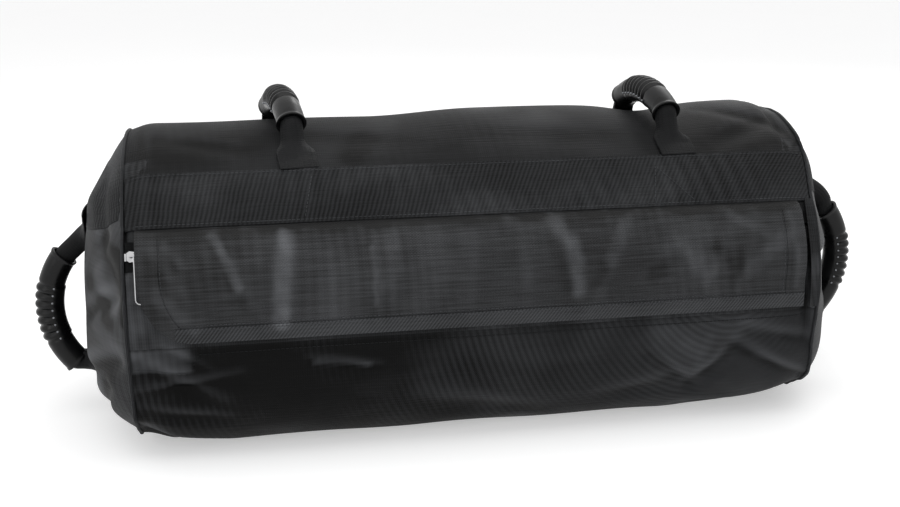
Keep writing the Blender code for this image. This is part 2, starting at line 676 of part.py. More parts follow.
def make_grip(name, place, bend, rubber, parent):
    strap_half_width = WEBBING_WIDTH / 4
    bore = webbing_section(strap_half_width + BORE_CLEARANCE, WEBBING_THICKNESS + BORE_CLEARANCE)
    mesh_maker = bmesh.new()
    outside = []
    for distance, half_width, half_depth, groove in grip_profile():
        point, ahead = arc_station(distance / bend[0], bend)
        outside.append(ring_at(point, ahead, oval_section(half_width, half_depth, groove)))
    inside = []
    for turn in bore_turns(bend):
        point, ahead = arc_station(turn, bend)
        inside.append(ring_at(point, ahead, bore))
    rings = [[mesh_maker.verts.new(place @ point) for point in ring] for ring in outside]
    holes = [[mesh_maker.verts.new(place @ point) for point in ring] for ring in inside]
    for first, second in zip(rings, rings[1:]):
        add_strip(mesh_maker, first, second, True)
    for first, second in zip(holes, holes[1:]):
        add_strip(mesh_maker, second, first, True)
    for ring, hole in ((rings[0], holes[0]), (rings[-1], holes[-1])):
        edges = [mesh_maker.edges.get((ring[i - 1], ring[i])) for i in range(len(ring))]
        edges += [mesh_maker.edges.get((hole[i - 1], hole[i])) for i in range(len(hole))]
        bmesh.ops.bridge_loops(mesh_maker, edges=edges)
    bmesh.ops.triangulate(mesh_maker, faces=mesh_maker.faces)
    finish(name, mesh_maker, rubber, origin=place, parent=parent)


def strap_leg(foot_y, turn, bend):
    """Rings from one rounded foot to the grip's mouth, each with its own width."""
    half_width = WEBBING_WIDTH / 4
    mouth, ahead = arc_station(turn, bend)
    leaving = ahead * math.copysign(1.0, turn)
    foot = Vector((0.0, foot_y, 0.0))
    reach = (mouth - foot).length * STRAP_LEG_PULL_SHARE
    controls = (foot, foot + Vector((0.0, 0.0, reach)), mouth + leaving * reach, mouth)
    rings = []
    side = math.copysign(1.0, turn)
    for depth_share, width_share in FOOT_RING_SHARES[:-1]:
        point = foot + Vector((0.0, 0.0, FOOT_RADIUS * depth_share))
        section = webbing_section(FOOT_RADIUS * width_share, WEBBING_THICKNESS)
        rings.append(ring_at(point, Vector((0.0, 0.0, -side)), section))
    for index in range(STRAP_LEG_STATIONS):
        share = index / STRAP_LEG_STATIONS
        rest = 1.0 - share
        weights = (rest**3, 3 * rest**2 * share, 3 * rest * share**2, share**3)
        point = sum((control * weight for control, weight in zip(controls, weights)), Vector())
        slopes = (-3 * rest**2, 3 * rest**2 - 6 * rest * share, 6 * rest * share - 3 * share**2, 3 * share**2)
        slope = sum((control * weight for control, weight in zip(controls, slopes)), Vector())
        width = FOOT_RADIUS + (half_width - FOOT_RADIUS) * smooth(share)
        rings.append(ring_at(point, slope.normalized() * -side, webbing_section(width, WEBBING_THICKNESS)))
    return rings


def make_strap(name, place, foot_half_span, bend, webbing, parent):
    """The folded webbing, from one foot through the grip to the other."""
    section = webbing_section(WEBBING_WIDTH / 4, WEBBING_THICKNESS)
    turns = bore_turns(bend)
    rings = strap_leg(-foot_half_span, turns[0], bend)
    for turn in turns:
        point, ahead = arc_station(turn, bend)
        rings.append(ring_at(point, ahead, section))
    rings += strap_leg(foot_half_span, turns[-1], bend)[::-1]
    rings = [[place @ point for point in ring] for ring in rings]
    finish(name, loft_mesh(rings), webbing, origin=place, parent=parent)


def make_handle(word, place, foot_half_span, bend, webbing, rubber):
    parent = joint_empty(f"{word}_axis", place)
    make_grip(f"{word}_grip", place, bend, rubber, parent)
    make_strap(f"{word}_strap", place, foot_half_span, bend, webbing, parent)


def make_top_handles(webbing, rubber):
    """Two handles over the top, from the front band to the rear one."""
    foot_height = FIT_GAP + WEBBING_THICKNESS + FIT_GAP + FOOT_RADIUS + FOOT_SLOPE_ROOM
    foot_angle = math.acos(TOP_FOOT_HALF_SPAN / (BAG_RADIUS + foot_height))
    foot_z = bag_point(0.0, foot_angle, foot_height).z
    foot_arc = foot_angle * BAG_RADIUS
    angles = (bag_angle(BAND_TOP_DISTANCE + FIT_GAP), bag_angle(foot_arc + ANCHOR_OVERLAP))
    offsets = (FIT_GAP, FIT_GAP + WEBBING_THICKNESS)
    for word in SIDES:
        middle = Vector((TOP_HANDLE_X[word], 0.0, foot_z))
        turn = Matrix.Rotation(TOP_HANDLE_TURN[word], 3, "Z")
        reach = turn @ Vector((0.0, TOP_FOOT_HALF_SPAN, 0.0))
        place = handle_place(middle + reach, middle - reach, Vector((0.0, 0.0, 1.0)))
        name = f"top_handle_{word}"
        make_handle(name, place, TOP_FOOT_HALF_SPAN, TOP_BEND, webbing, rubber)
        half = WEBBING_WIDTH / 2
        front_x = middle.x - reach.x
        rear_x = middle.x + reach.x
        bag_sheet(f"{name}_anchor_front", (front_x - half, front_x + half), angles, offsets, webbing)
        back = (math.pi - angles[1], math.pi - angles[0])
        bag_sheet(f"{name}_anchor_rear", (rear_x - half, rear_x + half), back, offsets, webbing)


def dome_patch(name, side, low, high, made_material):
    """A piece of webbing sewn to an end panel, across its middle."""
    grids = []
    for offset in (FIT_GAP + WEBBING_THICKNESS, FIT_GAP):
        grid = []
        for row in range(ANCHOR_ROWS + 1):
            z = low + (high - low) * row / ANCHOR_ROWS
            across = [WEBBING_WIDTH * (column / ANCHOR_COLUMNS - 1 / 2) for column in range(ANCHOR_COLUMNS + 1)]
            grid.append([on_dome(side, y, z, offset) for y in across])
        grids.append(grid)
    finish(name, sheet_mesh(*grids), made_material)


def make_end_handles(webbing, rubber):
    """An upright handle on each end, hung from the end band."""
    foot_out = FIT_GAP + WEBBING_THICKNESS + FIT_GAP + FOOT_RADIUS + FOOT_SLOPE_ROOM
    for word, side in SIDES.items():
        high = on_dome(side, 0.0, END_FOOT_HIGH, foot_out)
        low = on_dome(side, 0.0, END_FOOT_LOW, foot_out + END_FOOT_LOW_ROOM)
        place = handle_place(high, low, Vector((side, 0.0, 0.0)))
        name = f"end_handle_{word}"
        make_handle(name, place, (high - low).length / 2, END_BENDS[word], webbing, rubber)
        top = END_BAND_LOW - FIT_GAP
        dome_patch(f"{name}_anchor_high", side, END_FOOT_HIGH - ANCHOR_OVERLAP, top, webbing)
        low_top = END_FOOT_LOW + ANCHOR_OVERLAP
        dome_patch(f"{name}_anchor_low", side, low_top - END_ANCHOR_LENGTH, low_top, webbing)


def turned(profile, middle, sides):
    """Rings of a shape turned about a line along X."""
    rings = []
    for x, radius in profile:
        turns = [2 * math.pi * index / sides for index in range(sides)]
        rings.append([middle + Vector((x, radius * math.cos(turn), radius * math.sin(turn))) for turn in turns])
    return rings


def filler_profile():
    """(x, radius) of a filler bag: a round end, the body, a shoulder, the neck and the gathered head."""
    half = FILLER_LENGTH / 2
    core = FILLER_RADIUS - FILLER_NECK_RADIUS
    left = []
    for along, out in FILLER_SHOULDER_SHARES[1:]:
        left.append((-half + FILLER_SHOULDER * along, FILLER_RADIUS * out))
    neck_end = half - FILLER_HEAD_LENGTH
    neck_start = neck_end - FILLER_NECK_LENGTH
    right = []
    for along, out in FILLER_SHOULDER_SHARES[1:]:
        right.append((neck_start - FILLER_SHOULDER * along, FILLER_NECK_RADIUS + core * out))
    head = [(neck_start, FILLER_NECK_RADIUS), (neck_end, FILLER_NECK_RADIUS)]
    head += [(neck_end + FILLER_HEAD_LENGTH / 2, FILLER_NECK_RADIUS + core / 2), (half, FILLER_NECK_RADIUS)]
    return left + right[::-1] + head


def make_fillers(cloth, trim):
    """Three tied filler bags: two side by side on the base, the third in the hollow between them."""
    spacing = 2 * FILLER_RADIUS + FIT_GAP
    low = CLOTH + FIT_GAP + FILLER_RADIUS + FILLER_LIFT
    places = {
        "front": Vector((0.0, -spacing / 2, low)),
        "rear": Vector((0.0, spacing / 2, low)),
        "top": Vector((0.0, 0.0, low + spacing * math.sin(math.pi / 3))),
    }
    neck_end = FILLER_LENGTH / 2 - FILLER_HEAD_LENGTH
    tie_middle = neck_end - FILLER_NECK_LENGTH / 2
    tie_ends = (tie_middle - TIE_WIDTH / 2, tie_middle + TIE_WIDTH / 2)
    tie_low = FILLER_NECK_RADIUS + FIT_GAP
    for word, middle in places.items():
        finish(f"filler_{word}", loft_mesh(turned(filler_profile(), middle, FILLER_SIDES)), cloth)
        loop = [(tie_ends[0], tie_low), (tie_ends[0], tie_low + TIE_THICKNESS)]
        loop += [(tie_ends[1], tie_low + TIE_THICKNESS), (tie_ends[1], tie_low)]
        finish(f"filler_tie_{word}", loft_mesh(turned(loop, middle, FILLER_SIDES), capped=False), trim)


def main():
    for obj in list(bpy.data.objects):
        bpy.data.objects.remove(obj, do_unlink=True)
    cloth = material("black_nylon", (0.030, 0.031, 0.034), 0.75)
    base_cloth = material("base_nylon", (0.018, 0.018, 0.020), 0.8)
    flap_cloth = material("coated_nylon", (0.045, 0.047, 0.050), 0.55)
    webbing = material("twill_webbing", (0.026, 0.027, 0.029), 0.85)
    rubber = material("grip_rubber", (0.015, 0.015, 0.017), 0.35)
    metal = material("nickel", (0.62, 0.63, 0.64), 0.25, metallic=1.0)
    nylon = material("zip_nylon", (0.02, 0.02, 0.022), 0.5)
    hook = material("hook_and_loop", (0.02, 0.02, 0.021), 0.95)
    inner_cloth = material("filler_nylon", (0.05, 0.05, 0.055), 0.7)

    make_panels(cloth, base_cloth)
    make_ends(cloth, webbing)
    make_bands(webbing)
    make_zip(cloth, nylon, metal)
    make_slider(metal)
    make_pull(metal)
    make_flap(flap_cloth, flap_cloth, hook)
    make_top_handles(webbing, rubber)
    make_end_handles(webbing, rubber)
    make_fillers(inner_cloth, webbing)


main()
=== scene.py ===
# %% [markdown]
# # A sandbag trainer, dressed over its CAD frame
#
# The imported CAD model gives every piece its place. This lesson builds the soft, sewn bag that people see
# around that frame: cloth that is blown up a little by a simulation, webbing laid on it, ribbed grips, a zip
# and a flap.

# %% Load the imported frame
import json
import math

import bmesh
import bpy
import numpy as np
from mathutils import Matrix, Vector, noise
from mathutils.bvhtree import BVHTree


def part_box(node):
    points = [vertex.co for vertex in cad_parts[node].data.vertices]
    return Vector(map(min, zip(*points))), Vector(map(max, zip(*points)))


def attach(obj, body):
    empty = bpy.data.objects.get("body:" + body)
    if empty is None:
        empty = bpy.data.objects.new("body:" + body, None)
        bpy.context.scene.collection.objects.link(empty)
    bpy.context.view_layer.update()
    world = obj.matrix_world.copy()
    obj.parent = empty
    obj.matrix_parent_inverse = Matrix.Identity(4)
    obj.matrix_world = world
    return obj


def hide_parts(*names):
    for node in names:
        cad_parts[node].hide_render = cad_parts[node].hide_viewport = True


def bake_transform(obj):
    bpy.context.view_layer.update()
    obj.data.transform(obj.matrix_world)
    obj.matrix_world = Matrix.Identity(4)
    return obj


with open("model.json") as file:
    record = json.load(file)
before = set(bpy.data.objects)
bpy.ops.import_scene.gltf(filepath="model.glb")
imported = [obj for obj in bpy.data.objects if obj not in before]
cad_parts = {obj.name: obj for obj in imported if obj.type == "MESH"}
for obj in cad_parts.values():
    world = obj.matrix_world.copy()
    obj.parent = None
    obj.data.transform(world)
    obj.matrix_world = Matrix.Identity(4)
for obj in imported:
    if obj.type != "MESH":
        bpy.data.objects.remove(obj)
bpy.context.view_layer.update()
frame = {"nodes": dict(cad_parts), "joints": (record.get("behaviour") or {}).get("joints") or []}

# %% [markdown]
# ## The camera, the floor and the light
#
# The camera comes first, so that every later choice can be judged from the photograph's side. It looks along
# the bag from a little to the left and above. A long table of white light above a pale floor gives the even,
# soft look of a product picture. The floor and the world only turn white for rays that the eye sees, straight
# or in a reflection, so no extra light falls on the bag.

# %% Camera
IMAGE_WIDTH = 900
SENSOR_WIDTH = 36.0
FOCAL_PIXELS = 1185.0
CAMERA_YAW = math.radians(10.5)
CAMERA_PITCH = math.radians(16.7)
CAMERA_DISTANCE = 1.3
CAMERA_TARGET = Vector((0.0, 0.0, 0.135))
CENTRE_SHIFT = (8.5, 15.1)

view_direction = Vector((
    math.sin(CAMERA_YAW) * math.cos(CAMERA_PITCH),
    math.cos(CAMERA_YAW) * math.cos(CAMERA_PITCH),
    -math.sin(CAMERA_PITCH),
))
bpy.ops.object.camera_add(
    location=CAMERA_TARGET - view_direction * CAMERA_DISTANCE,
    rotation=view_direction.to_track_quat("-Z", "Y").to_euler(),
)
camera = bpy.context.object
camera.data.sensor_width = SENSOR_WIDTH
camera.data.lens = FOCAL_PIXELS / IMAGE_WIDTH * SENSOR_WIDTH
camera.data.shift_x = -CENTRE_SHIFT[0] / IMAGE_WIDTH
camera.data.shift_y = CENTRE_SHIFT[1] / IMAGE_WIDTH
bpy.context.scene.camera = camera
bpy.context.scene.view_settings.view_transform = "Standard"
print("camera at", [round(value, 3) for value in camera.location])

# %% Helpers for materials
def new_material(name):
    """A material with nodes, its tree and its Principled shader."""
    made = bpy.data.materials.new(name)
    made.use_nodes = True
    tree = made.node_tree
    return made, tree, tree.nodes["Principled BSDF"]


def add_node(tree, kind, values=None, **settings):
    """A node with its settings and its unlinked input values."""
    node = tree.nodes.new(kind)
    for key, value in settings.items():
        setattr(node, key, value)
    for key, value in (values or {}).items():
        node.inputs[key].default_value = value
    return node


def join(tree, *pairs):
    for source, target in pairs:
        tree.links.new(source, target)


def maths(tree, operation, first, second=None):
    """A Math node fed by sockets or plain numbers. Returns its output."""
    node = add_node(tree, "ShaderNodeMath", operation=operation)
    for index, value in enumerate((first, second)):
        if value is None:
            continue
        if isinstance(value, (int, float)):
            node.inputs[index].default_value = value
        else:
            tree.links.new(value, node.inputs[index])
    return node.outputs[0]


def times(tree, first, second):
    return maths(tree, "MULTIPLY", first, second)


def plus(tree, first, second):
    return maths(tree, "ADD", first, second)


def zero_to_one(tree, wave):
    """A wave from -1 to 1, moved to 0 to 1."""
    return times(tree, plus(tree, wave, 1.0), 0.5)


def seen_rays(tree):
    """1 for rays that the camera sees, straight, in a reflection or through glass."""
    path = add_node(tree, "ShaderNodeLightPath")
    either = maths(tree, "MAXIMUM", path.outputs["Is Camera Ray"], path.outputs["Is Glossy Ray"])
    return maths(tree, "MAXIMUM", either, path.outputs["Is Transmission Ray"])


# %% Floor, world and lamps
WORLD_GLOW = 0.62
FLOOR_COLOUR = (0.80, 0.80, 0.805, 1.0)
FLOOR_WHITE_SHARE = 0.42

world = bpy.data.worlds.new("studio")
bpy.context.scene.world = world
world.use_nodes = True
tree = world.node_tree
background = tree.nodes["Background"]
background.inputs["Color"].default_value = (1.0, 1.0, 1.0, 1.0)
glow = maths(tree, "MAXIMUM", seen_rays(tree), WORLD_GLOW)
join(tree, (glow, background.inputs["Strength"]))

bpy.ops.mesh.primitive_plane_add(size=24.0, location=(0.0, 0.0, 0.0))
floor = bpy.context.object
floor.name = "studio_floor"
floor_paint, tree, shader = new_material("studio_floor_paint")
grain = add_node(tree, "ShaderNodeTexNoise", {"Scale": 3.0})
tint = add_node(tree, "ShaderNodeMix", data_type="RGBA")
tint.inputs["A"].default_value = FLOOR_COLOUR
tint.inputs["B"].default_value = (0.83, 0.83, 0.83, 1.0)
white_for_the_eye = maths(tree, "MULTIPLY", seen_rays(tree), FLOOR_WHITE_SHARE)
coordinates = add_node(tree, "ShaderNodeTexCoord")
join(
    tree,
    (coordinates.outputs["Object"], grain.inputs["Vector"]),
    (grain.outputs["Fac"], tint.inputs["Factor"]),
    (tint.outputs["Result"], shader.inputs["Base Color"]),
    (white_for_the_eye, shader.inputs["Emission Strength"]),
)
shader.inputs["Emission Color"].default_value = (1.0, 1.0, 1.0, 1.0)
shader.inputs["Roughness"].default_value = 0.9
shader.inputs["Specular IOR Level"].default_value = 0.1
floor.data.materials.append(floor_paint)

LAMPS = (
    ("lamp_above", (0.0, -0.5, 2.3), (0.0, 0.0, 0.1), 3.2, 1.6, 22.0),
    ("lamp_left", (-2.0, -1.6, 1.3), (-0.1, 0.0, 0.15), 1.0, 1.4, 11.0),
    ("lamp_behind", (1.2, 1.8, 1.7), (0.1, 0.0, 0.2), 1.4, 0.8, 9.0),
)
for name, place, target, width, height, power in LAMPS:
    aim = (Vector(target) - Vector(place)).to_track_quat("-Z", "Y").to_euler()
    bpy.ops.object.light_add(type="AREA", location=place, rotation=aim)
    lamp = bpy.context.object
    lamp.name = name
    lamp.data.shape = "RECTANGLE"
    lamp.data.size = width
    lamp.data.size_y = height
    lamp.data.energy = power
print("lamps:", len(LAMPS))

# %% [markdown]
# ## Node groups for the finishes
#
# Woven threads, the small dust and wear that every finish shows, and the sheen of pulled cloth, which is a
# painted highlight, are effects that several materials share. Each is a node group, built once. The weave
# group turns a cloth's own map, which is in metres, into a height and a mask of threads, so that the weave
# keeps its real size and turns with the cloth.

# %% The weave group
def new_group(name, inputs, outputs):
    """An empty node group with named float, colour or vector sockets."""
    group = bpy.data.node_groups.new(name, "ShaderNodeTree")
    for socket, kind, value in inputs:
        made = group.interface.new_socket(socket, in_out="INPUT", socket_type=kind)
        if value is not None:
            made.default_value = value
    for socket, kind in outputs:
        group.interface.new_socket(socket, in_out="OUTPUT", socket_type=kind)
    return group, add_node(group, "NodeGroupInput"), add_node(group, "NodeGroupOutput")


def spread_out(tree, value, low, high):
    """The part of a value between two levels, spread over 0 to 1."""
    spread = add_node(tree, "ShaderNodeMapRange", {"From Min": low, "From Max": high}, clamp=True)
    tree.links.new(value, spread.inputs["Value"])
    return spread.outputs["Result"]


FULL_TURN = 2.0 * math.pi

weave_group, source, target = new_group(
    "weave",
    (
        ("Vector", "NodeSocketVector", None),
        ("Threads along", "NodeSocketFloat", 900.0),
        ("Threads across", "NodeSocketFloat", 900.0),
        ("Slant", "NodeSocketFloat", 0.0),
        ("Waver", "NodeSocketFloat", 0.0006),
    ),
    (("Height", "NodeSocketFloat"), ("Threads", "NodeSocketFloat"), ("Shimmer", "NodeSocketFloat")),
)
drift = add_node(weave_group, "ShaderNodeTexNoise", {"Scale": 16.0, "Detail": 2.0})
centred = add_node(weave_group, "ShaderNodeVectorMath", {1: (0.5, 0.5, 0.5)}, operation="SUBTRACT")
scaled = add_node(weave_group, "ShaderNodeVectorMath", operation="SCALE")
moved = add_node(weave_group, "ShaderNodeVectorMath", operation="ADD")
parts = add_node(weave_group, "ShaderNodeSeparateXYZ")
join(
    weave_group,
    (source.outputs["Vector"], drift.inputs["Vector"]),
    (drift.outputs["Color"], centred.inputs[0]),
    (centred.outputs[0], scaled.inputs[0]),
    (source.outputs["Waver"], scaled.inputs["Scale"]),
    (source.outputs["Vector"], moved.inputs[0]),
    (scaled.outputs[0], moved.inputs[1]),
    (moved.outputs[0], parts.inputs[0]),
)
slanted = times(weave_group, parts.outputs["Y"], source.outputs["Slant"])
along = plus(weave_group, parts.outputs["X"], slanted)
warp, weft = [
    maths(weave_group, "SINE", times(
        weave_group, times(weave_group, place, source.outputs[count]), FULL_TURN))
    for place, count in ((along, "Threads along"), (parts.outputs["Y"], "Threads across"))]
height = zero_to_one(weave_group, times(weave_group, warp, weft))
threads = zero_to_one(weave_group, warp)
shimmer_noise = add_node(weave_group, "ShaderNodeTexNoise", {"Scale": 1.0, "Detail": 3.0, "Roughness": 0.6})
stretch = add_node(weave_group, "ShaderNodeVectorMath", {1: (15.0, 520.0, 1.0)}, operation="MULTIPLY")
join(
    weave_group,
    (moved.outputs[0], stretch.inputs[0]),
    (stretch.outputs[0], shimmer_noise.inputs["Vector"]),
    (height, target.inputs["Height"]),
    (threads, target.inputs["Threads"]),
    (spread_out(weave_group, shimmer_noise.outputs["Fac"], 0.36, 0.64), target.inputs["Shimmer"]),
)

# %% The dust and wear group
wear_group, source, target = new_group(
    "dust_and_wear",
    (("Vector", "NodeSocketVector", None), ("Scale", "NodeSocketFloat", 9.0)),
    (("Patches", "NodeSocketFloat"), ("Specks", "NodeSocketFloat")),
)
patches = add_node(wear_group, "ShaderNodeTexNoise", {"Detail": 4.0, "Roughness": 0.55})
specks = add_node(wear_group, "ShaderNodeTexNoise", {"Scale": 420.0, "Detail": 2.0})
join(
    wear_group,
    (source.outputs["Vector"], patches.inputs["Vector"]),
    (source.outputs["Scale"], patches.inputs["Scale"]),
    (source.outputs["Vector"], specks.inputs["Vector"]),
    (spread_out(wear_group, patches.outputs["Fac"], 0.34, 0.66), target.inputs["Patches"]),
    (specks.outputs["Fac"], target.inputs["Specks"]),
)

# %% The painted sheen group
# Painted sheen: long soft streaks of light painted into the colour, where pulled cloth shines, and wavy moire
# lines, as two weaves one over the other show.
painted_sheen_group, source, target = new_group(
    "painted_sheen_and_moire",
    (
        ("Vector", "NodeSocketVector", None),
        ("Streaks", "NodeSocketVector", (12.0, 3.0, 1.0)),
        ("Moire lines", "NodeSocketFloat", 120.0),
        ("Moire bend", "NodeSocketFloat", 3.0),
        ("Moire centre", "NodeSocketVector", (3.0, 0.3, 0.0)),
    ),
    (("Sheen", "NodeSocketFloat"), ("Moire", "NodeSocketFloat")),
)
pulled = add_node(painted_sheen_group, "ShaderNodeVectorMath", operation="MULTIPLY")
streak_noise = add_node(painted_sheen_group, "ShaderNodeTexNoise", {"Scale": 1.0, "Detail": 2.5, "Roughness": 0.5})
bend_noise = add_node(painted_sheen_group, "ShaderNodeTexNoise", {"Scale": 4.5, "Detail": 1.0})
fade_noise = add_node(painted_sheen_group, "ShaderNodeTexNoise", {"Scale": 7.0, "Detail": 2.0})
from_centre = add_node(painted_sheen_group, "ShaderNodeVectorMath", operation="DISTANCE")
join(
    painted_sheen_group,
    (source.outputs["Vector"], pulled.inputs[0]),
    (source.outputs["Streaks"], pulled.inputs[1]),
    (pulled.outputs[0], streak_noise.inputs["Vector"]),
    (source.outputs["Vector"], bend_noise.inputs["Vector"]),
    (source.outputs["Vector"], fade_noise.inputs["Vector"]),
    (source.outputs["Vector"], from_centre.inputs[0]),
    (source.outputs["Moire centre"], from_centre.inputs[1]),
    (spread_out(painted_sheen_group, streak_noise.outputs["Fac"], 0.50, 0.70), target.inputs["Sheen"]),
)
bent = times(painted_sheen_group, bend_noise.outputs["Fac"], source.outputs["Moire bend"])
lines = times(painted_sheen_group, from_centre.outputs["Value"], source.outputs["Moire lines"])
wave = maths(painted_sheen_group, "SINE", times(painted_sheen_group, plus(painted_sheen_group, lines, bent), FULL_TURN))
fade = spread_out(painted_sheen_group, fade_noise.outputs["Fac"], 0.42, 0.60)
faded = times(painted_sheen_group, zero_to_one(painted_sheen_group, wave), fade)
join(painted_sheen_group, (faded, target.inputs["Moire"]))
print("node groups:", [group.name for group in (weave_group, wear_group, painted_sheen_group)])


# %% Cloth finishes
CLOTH_MAP = "cloth_metres"
PAINTED_LIGHT_ATTRIBUTE = "painted_light"


def grey(level):
    """A near-neutral colour, a little blue, as black nylon is."""
    return (level * 0.965, level, level * 1.07, 1.0)


def cloth_finish(name, low, high, roughness, along, across, slant=0.0, slant_change=0.0, depth=0.00025,
                 shimmer=0.3, waver=0.0006, gloss_level=0.12, streaks=None, streak_light=0.0, moire=120.0,
                 moire_light=0.0, moire_centre=(3.0, 0.3, 0.0), sheen=0.0, painted_light_gain=0.0, from_map=True):
    """Woven cloth: threads, a painted shimmer along them, patches of dust, painted sheen where it is pulled,
    the painted light and shade kept on its points, and a bump.
    """
    made, tree, shader = new_material(name)
    coordinates = add_node(tree, "ShaderNodeTexCoord")
    if from_map:
        cut = add_node(tree, "ShaderNodeUVMap", uv_map=CLOTH_MAP).outputs["UV"]
    else:
        cut = coordinates.outputs["Object"]
    weave = add_node(tree, "ShaderNodeGroup", node_tree=weave_group)
    for key, value in (
            ("Threads along", along), ("Threads across", across), ("Slant", slant), ("Waver", waver)):
        weave.inputs[key].default_value = value
    if slant_change:
        parts = add_node(tree, "ShaderNodeSeparateXYZ")
        join(tree, (cut, parts.inputs[0]))
        turned = plus(tree, times(tree, parts.outputs["X"], slant_change), slant)
        join(tree, (turned, weave.inputs["Slant"]))
    wear = add_node(tree, "ShaderNodeGroup", node_tree=wear_group)
    # The colour's factor: the threads' own tone and dust patches, with painted light added in: the shimmer
    # along the threads, the sheen streaks and the painted light and shade kept on the points. The moire lines
    # are a pattern.
    tone_and_painted_light = times(tree, weave.outputs["Shimmer"], shimmer)
    tone_and_painted_light = plus(tree, tone_and_painted_light, times(tree, weave.outputs["Threads"], 1.0 - shimmer))
    tone_and_painted_light = plus(tree, tone_and_painted_light, times(tree, wear.outputs["Patches"], 0.5))
    tone_and_painted_light = times(tree, tone_and_painted_light, 0.66)
    gloss = add_node(tree, "ShaderNodeMapRange", {"To Min": roughness + 0.08, "To Max": roughness - 0.10})
    if streaks:
        pulled = add_node(tree, "ShaderNodeGroup", node_tree=painted_sheen_group)
        for key, value in (("Streaks", streaks), ("Moire lines", moire), ("Moire centre", moire_centre)):
            pulled.inputs[key].default_value = value
        tone_and_painted_light = plus(tree, tone_and_painted_light, times(tree, pulled.outputs["Sheen"], streak_light))
        tone_and_painted_light = plus(tree, tone_and_painted_light, times(tree, pulled.outputs["Moire"], moire_light))
        join(tree, (cut, pulled.inputs["Vector"]), (pulled.outputs["Sheen"], gloss.inputs["Value"]))
    else:
        join(tree, (wear.outputs["Patches"], gloss.inputs["Value"]))
    # Painted light and shade of folds, streaks and patches, read from the points.
    if painted_light_gain:
        folds = add_node(tree, "ShaderNodeAttribute", attribute_name=PAINTED_LIGHT_ATTRIBUTE)
        tone_and_painted_light = plus(tree, tone_and_painted_light, times(tree, folds.outputs["Fac"], painted_light_gain))
        tone_and_painted_light = maths(tree, "MAXIMUM", tone_and_painted_light, 0.0)
    colour = add_node(
        tree, "ShaderNodeMix", {"A": grey(low), "B": grey(high)}, data_type="RGBA", clamp_factor=False)
    bump = add_node(tree, "ShaderNodeBump", {"Strength": 0.75, "Distance": depth})
    relief = plus(tree, weave.outputs["Height"], times(tree, weave.outputs["Shimmer"], 0.9))
    join(
        tree,
        (cut, weave.inputs["Vector"]),
        (coordinates.outputs["Object"], wear.inputs["Vector"]),
        (tone_and_painted_light, colour.inputs["Factor"]),
        (colour.outputs["Result"], shader.inputs["Base Color"]),
        (gloss.outputs["Result"], shader.inputs["Roughness"]),
        (relief, bump.inputs["Height"]),
        (bump.outputs["Normal"], shader.inputs["Normal"]),
    )
    shader.inputs["Sheen Weight"].default_value = sheen
    shader.inputs["Sheen Roughness"].default_value = 0.45
    shader.inputs["Specular IOR Level"].default_value = gloss_level
    return made


# The top, front, end and base finishes are one black nylon. Their different tones are painted light and
# shade: the front and the ends are painted lighter than the top, the base darker.
body_cloth = cloth_finish(
    "black_nylon_weave", 0.001, 0.015, 0.52, 460.0, 460.0, shimmer=0.45,
    streaks=(7.0, 5.0, 1.0), streak_light=0.6, moire=90.0, moire_light=0.2, painted_light_gain=1.6)
front_cloth = cloth_finish(
    "black_nylon_weave_of_front", 0.0008, 0.026, 0.5, 460.0, 460.0, shimmer=0.45,
    streaks=(14.0, 26.0, 1.0), streak_light=0.9, moire=130.0, moire_light=0.5, painted_light_gain=3.0)
end_cloth = cloth_finish(
    "black_nylon_weave_of_ends", 0.0008, 0.034, 0.5, 460.0, 460.0, shimmer=0.45, gloss_level=0.14,
    streaks=(11.0, 5.0, 1.0), streak_light=0.9, moire=150.0, moire_light=0.35, painted_light_gain=1.6)
base_cloth = cloth_finish(
    "black_nylon_weave_of_base_painted_darker", 0.0003, 0.008, 0.5, 460.0, 460.0, shimmer=0.4, gloss_level=0.10,
    streaks=(6.0, 14.0, 1.0), streak_light=1.4, moire=150.0, moire_light=1.8, moire_centre=(0.25, 0.035, 0.0),
    painted_light_gain=3.6)
flap_cloth = cloth_finish(
    "coated_nylon_weave", 0.002, 0.038, 0.42, 330.0, 420.0, shimmer=0.85, depth=0.0004, gloss_level=0.2,
    streaks=(16.0, 9.0, 1.0), streak_light=0.4, moire=90.0, moire_light=0.2, painted_light_gain=1.0)
band_cloth = cloth_finish(
    "twill_band", 0.0005, 0.027, 0.6, 225.0, 70.0, slant=-0.40, slant_change=-0.75, depth=0.0006, shimmer=0.2,
    waver=0.005, streaks=(9.0, 14.0, 1.0), streak_light=0.3, moire=60.0, moire_light=0.3)
hem_cloth = cloth_finish(
    "twill_hem", 0.002, 0.070, 0.5, 280.0, 90.0, slant=-0.8, depth=0.0004, shimmer=0.25, gloss_level=0.18,
    painted_light_gain=0.8)
webbing_cloth = cloth_finish("folded_webbing", 0.001, 0.014, 0.6, 420.0, 420.0, slant=1.0, depth=0.0004)
filler_cloth = cloth_finish("filler_nylon_weave", 0.03, 0.06, 0.7, 500.0, 500.0)
tape_cloth = cloth_finish("zip_tape_weave", 0.002, 0.010, 0.75, 800.0, 800.0, gloss_level=0.08)
pile_cloth = cloth_finish("hook_and_loop_pile", 0.004, 0.012, 0.9, 700.0, 700.0, depth=0.0008, sheen=0.1)
piping_cloth = cloth_finish("piping_weave", 0.004, 0.045, 0.6, 700.0, 700.0, from_map=False)
dark_thread = cloth_finish(
    "dark_sewing_thread", 0.003, 0.02, 0.6, 1500.0, 1500.0, depth=0.0001, from_map=False)
thread_finish = cloth_finish(
    "sewing_thread", 0.02, 0.09, 0.55, 1500.0, 1500.0, depth=0.0001, from_map=False)
print("cloth finishes ready")

# %% Rubber and metal finishes
GLOSS_SPREAD = 0.08


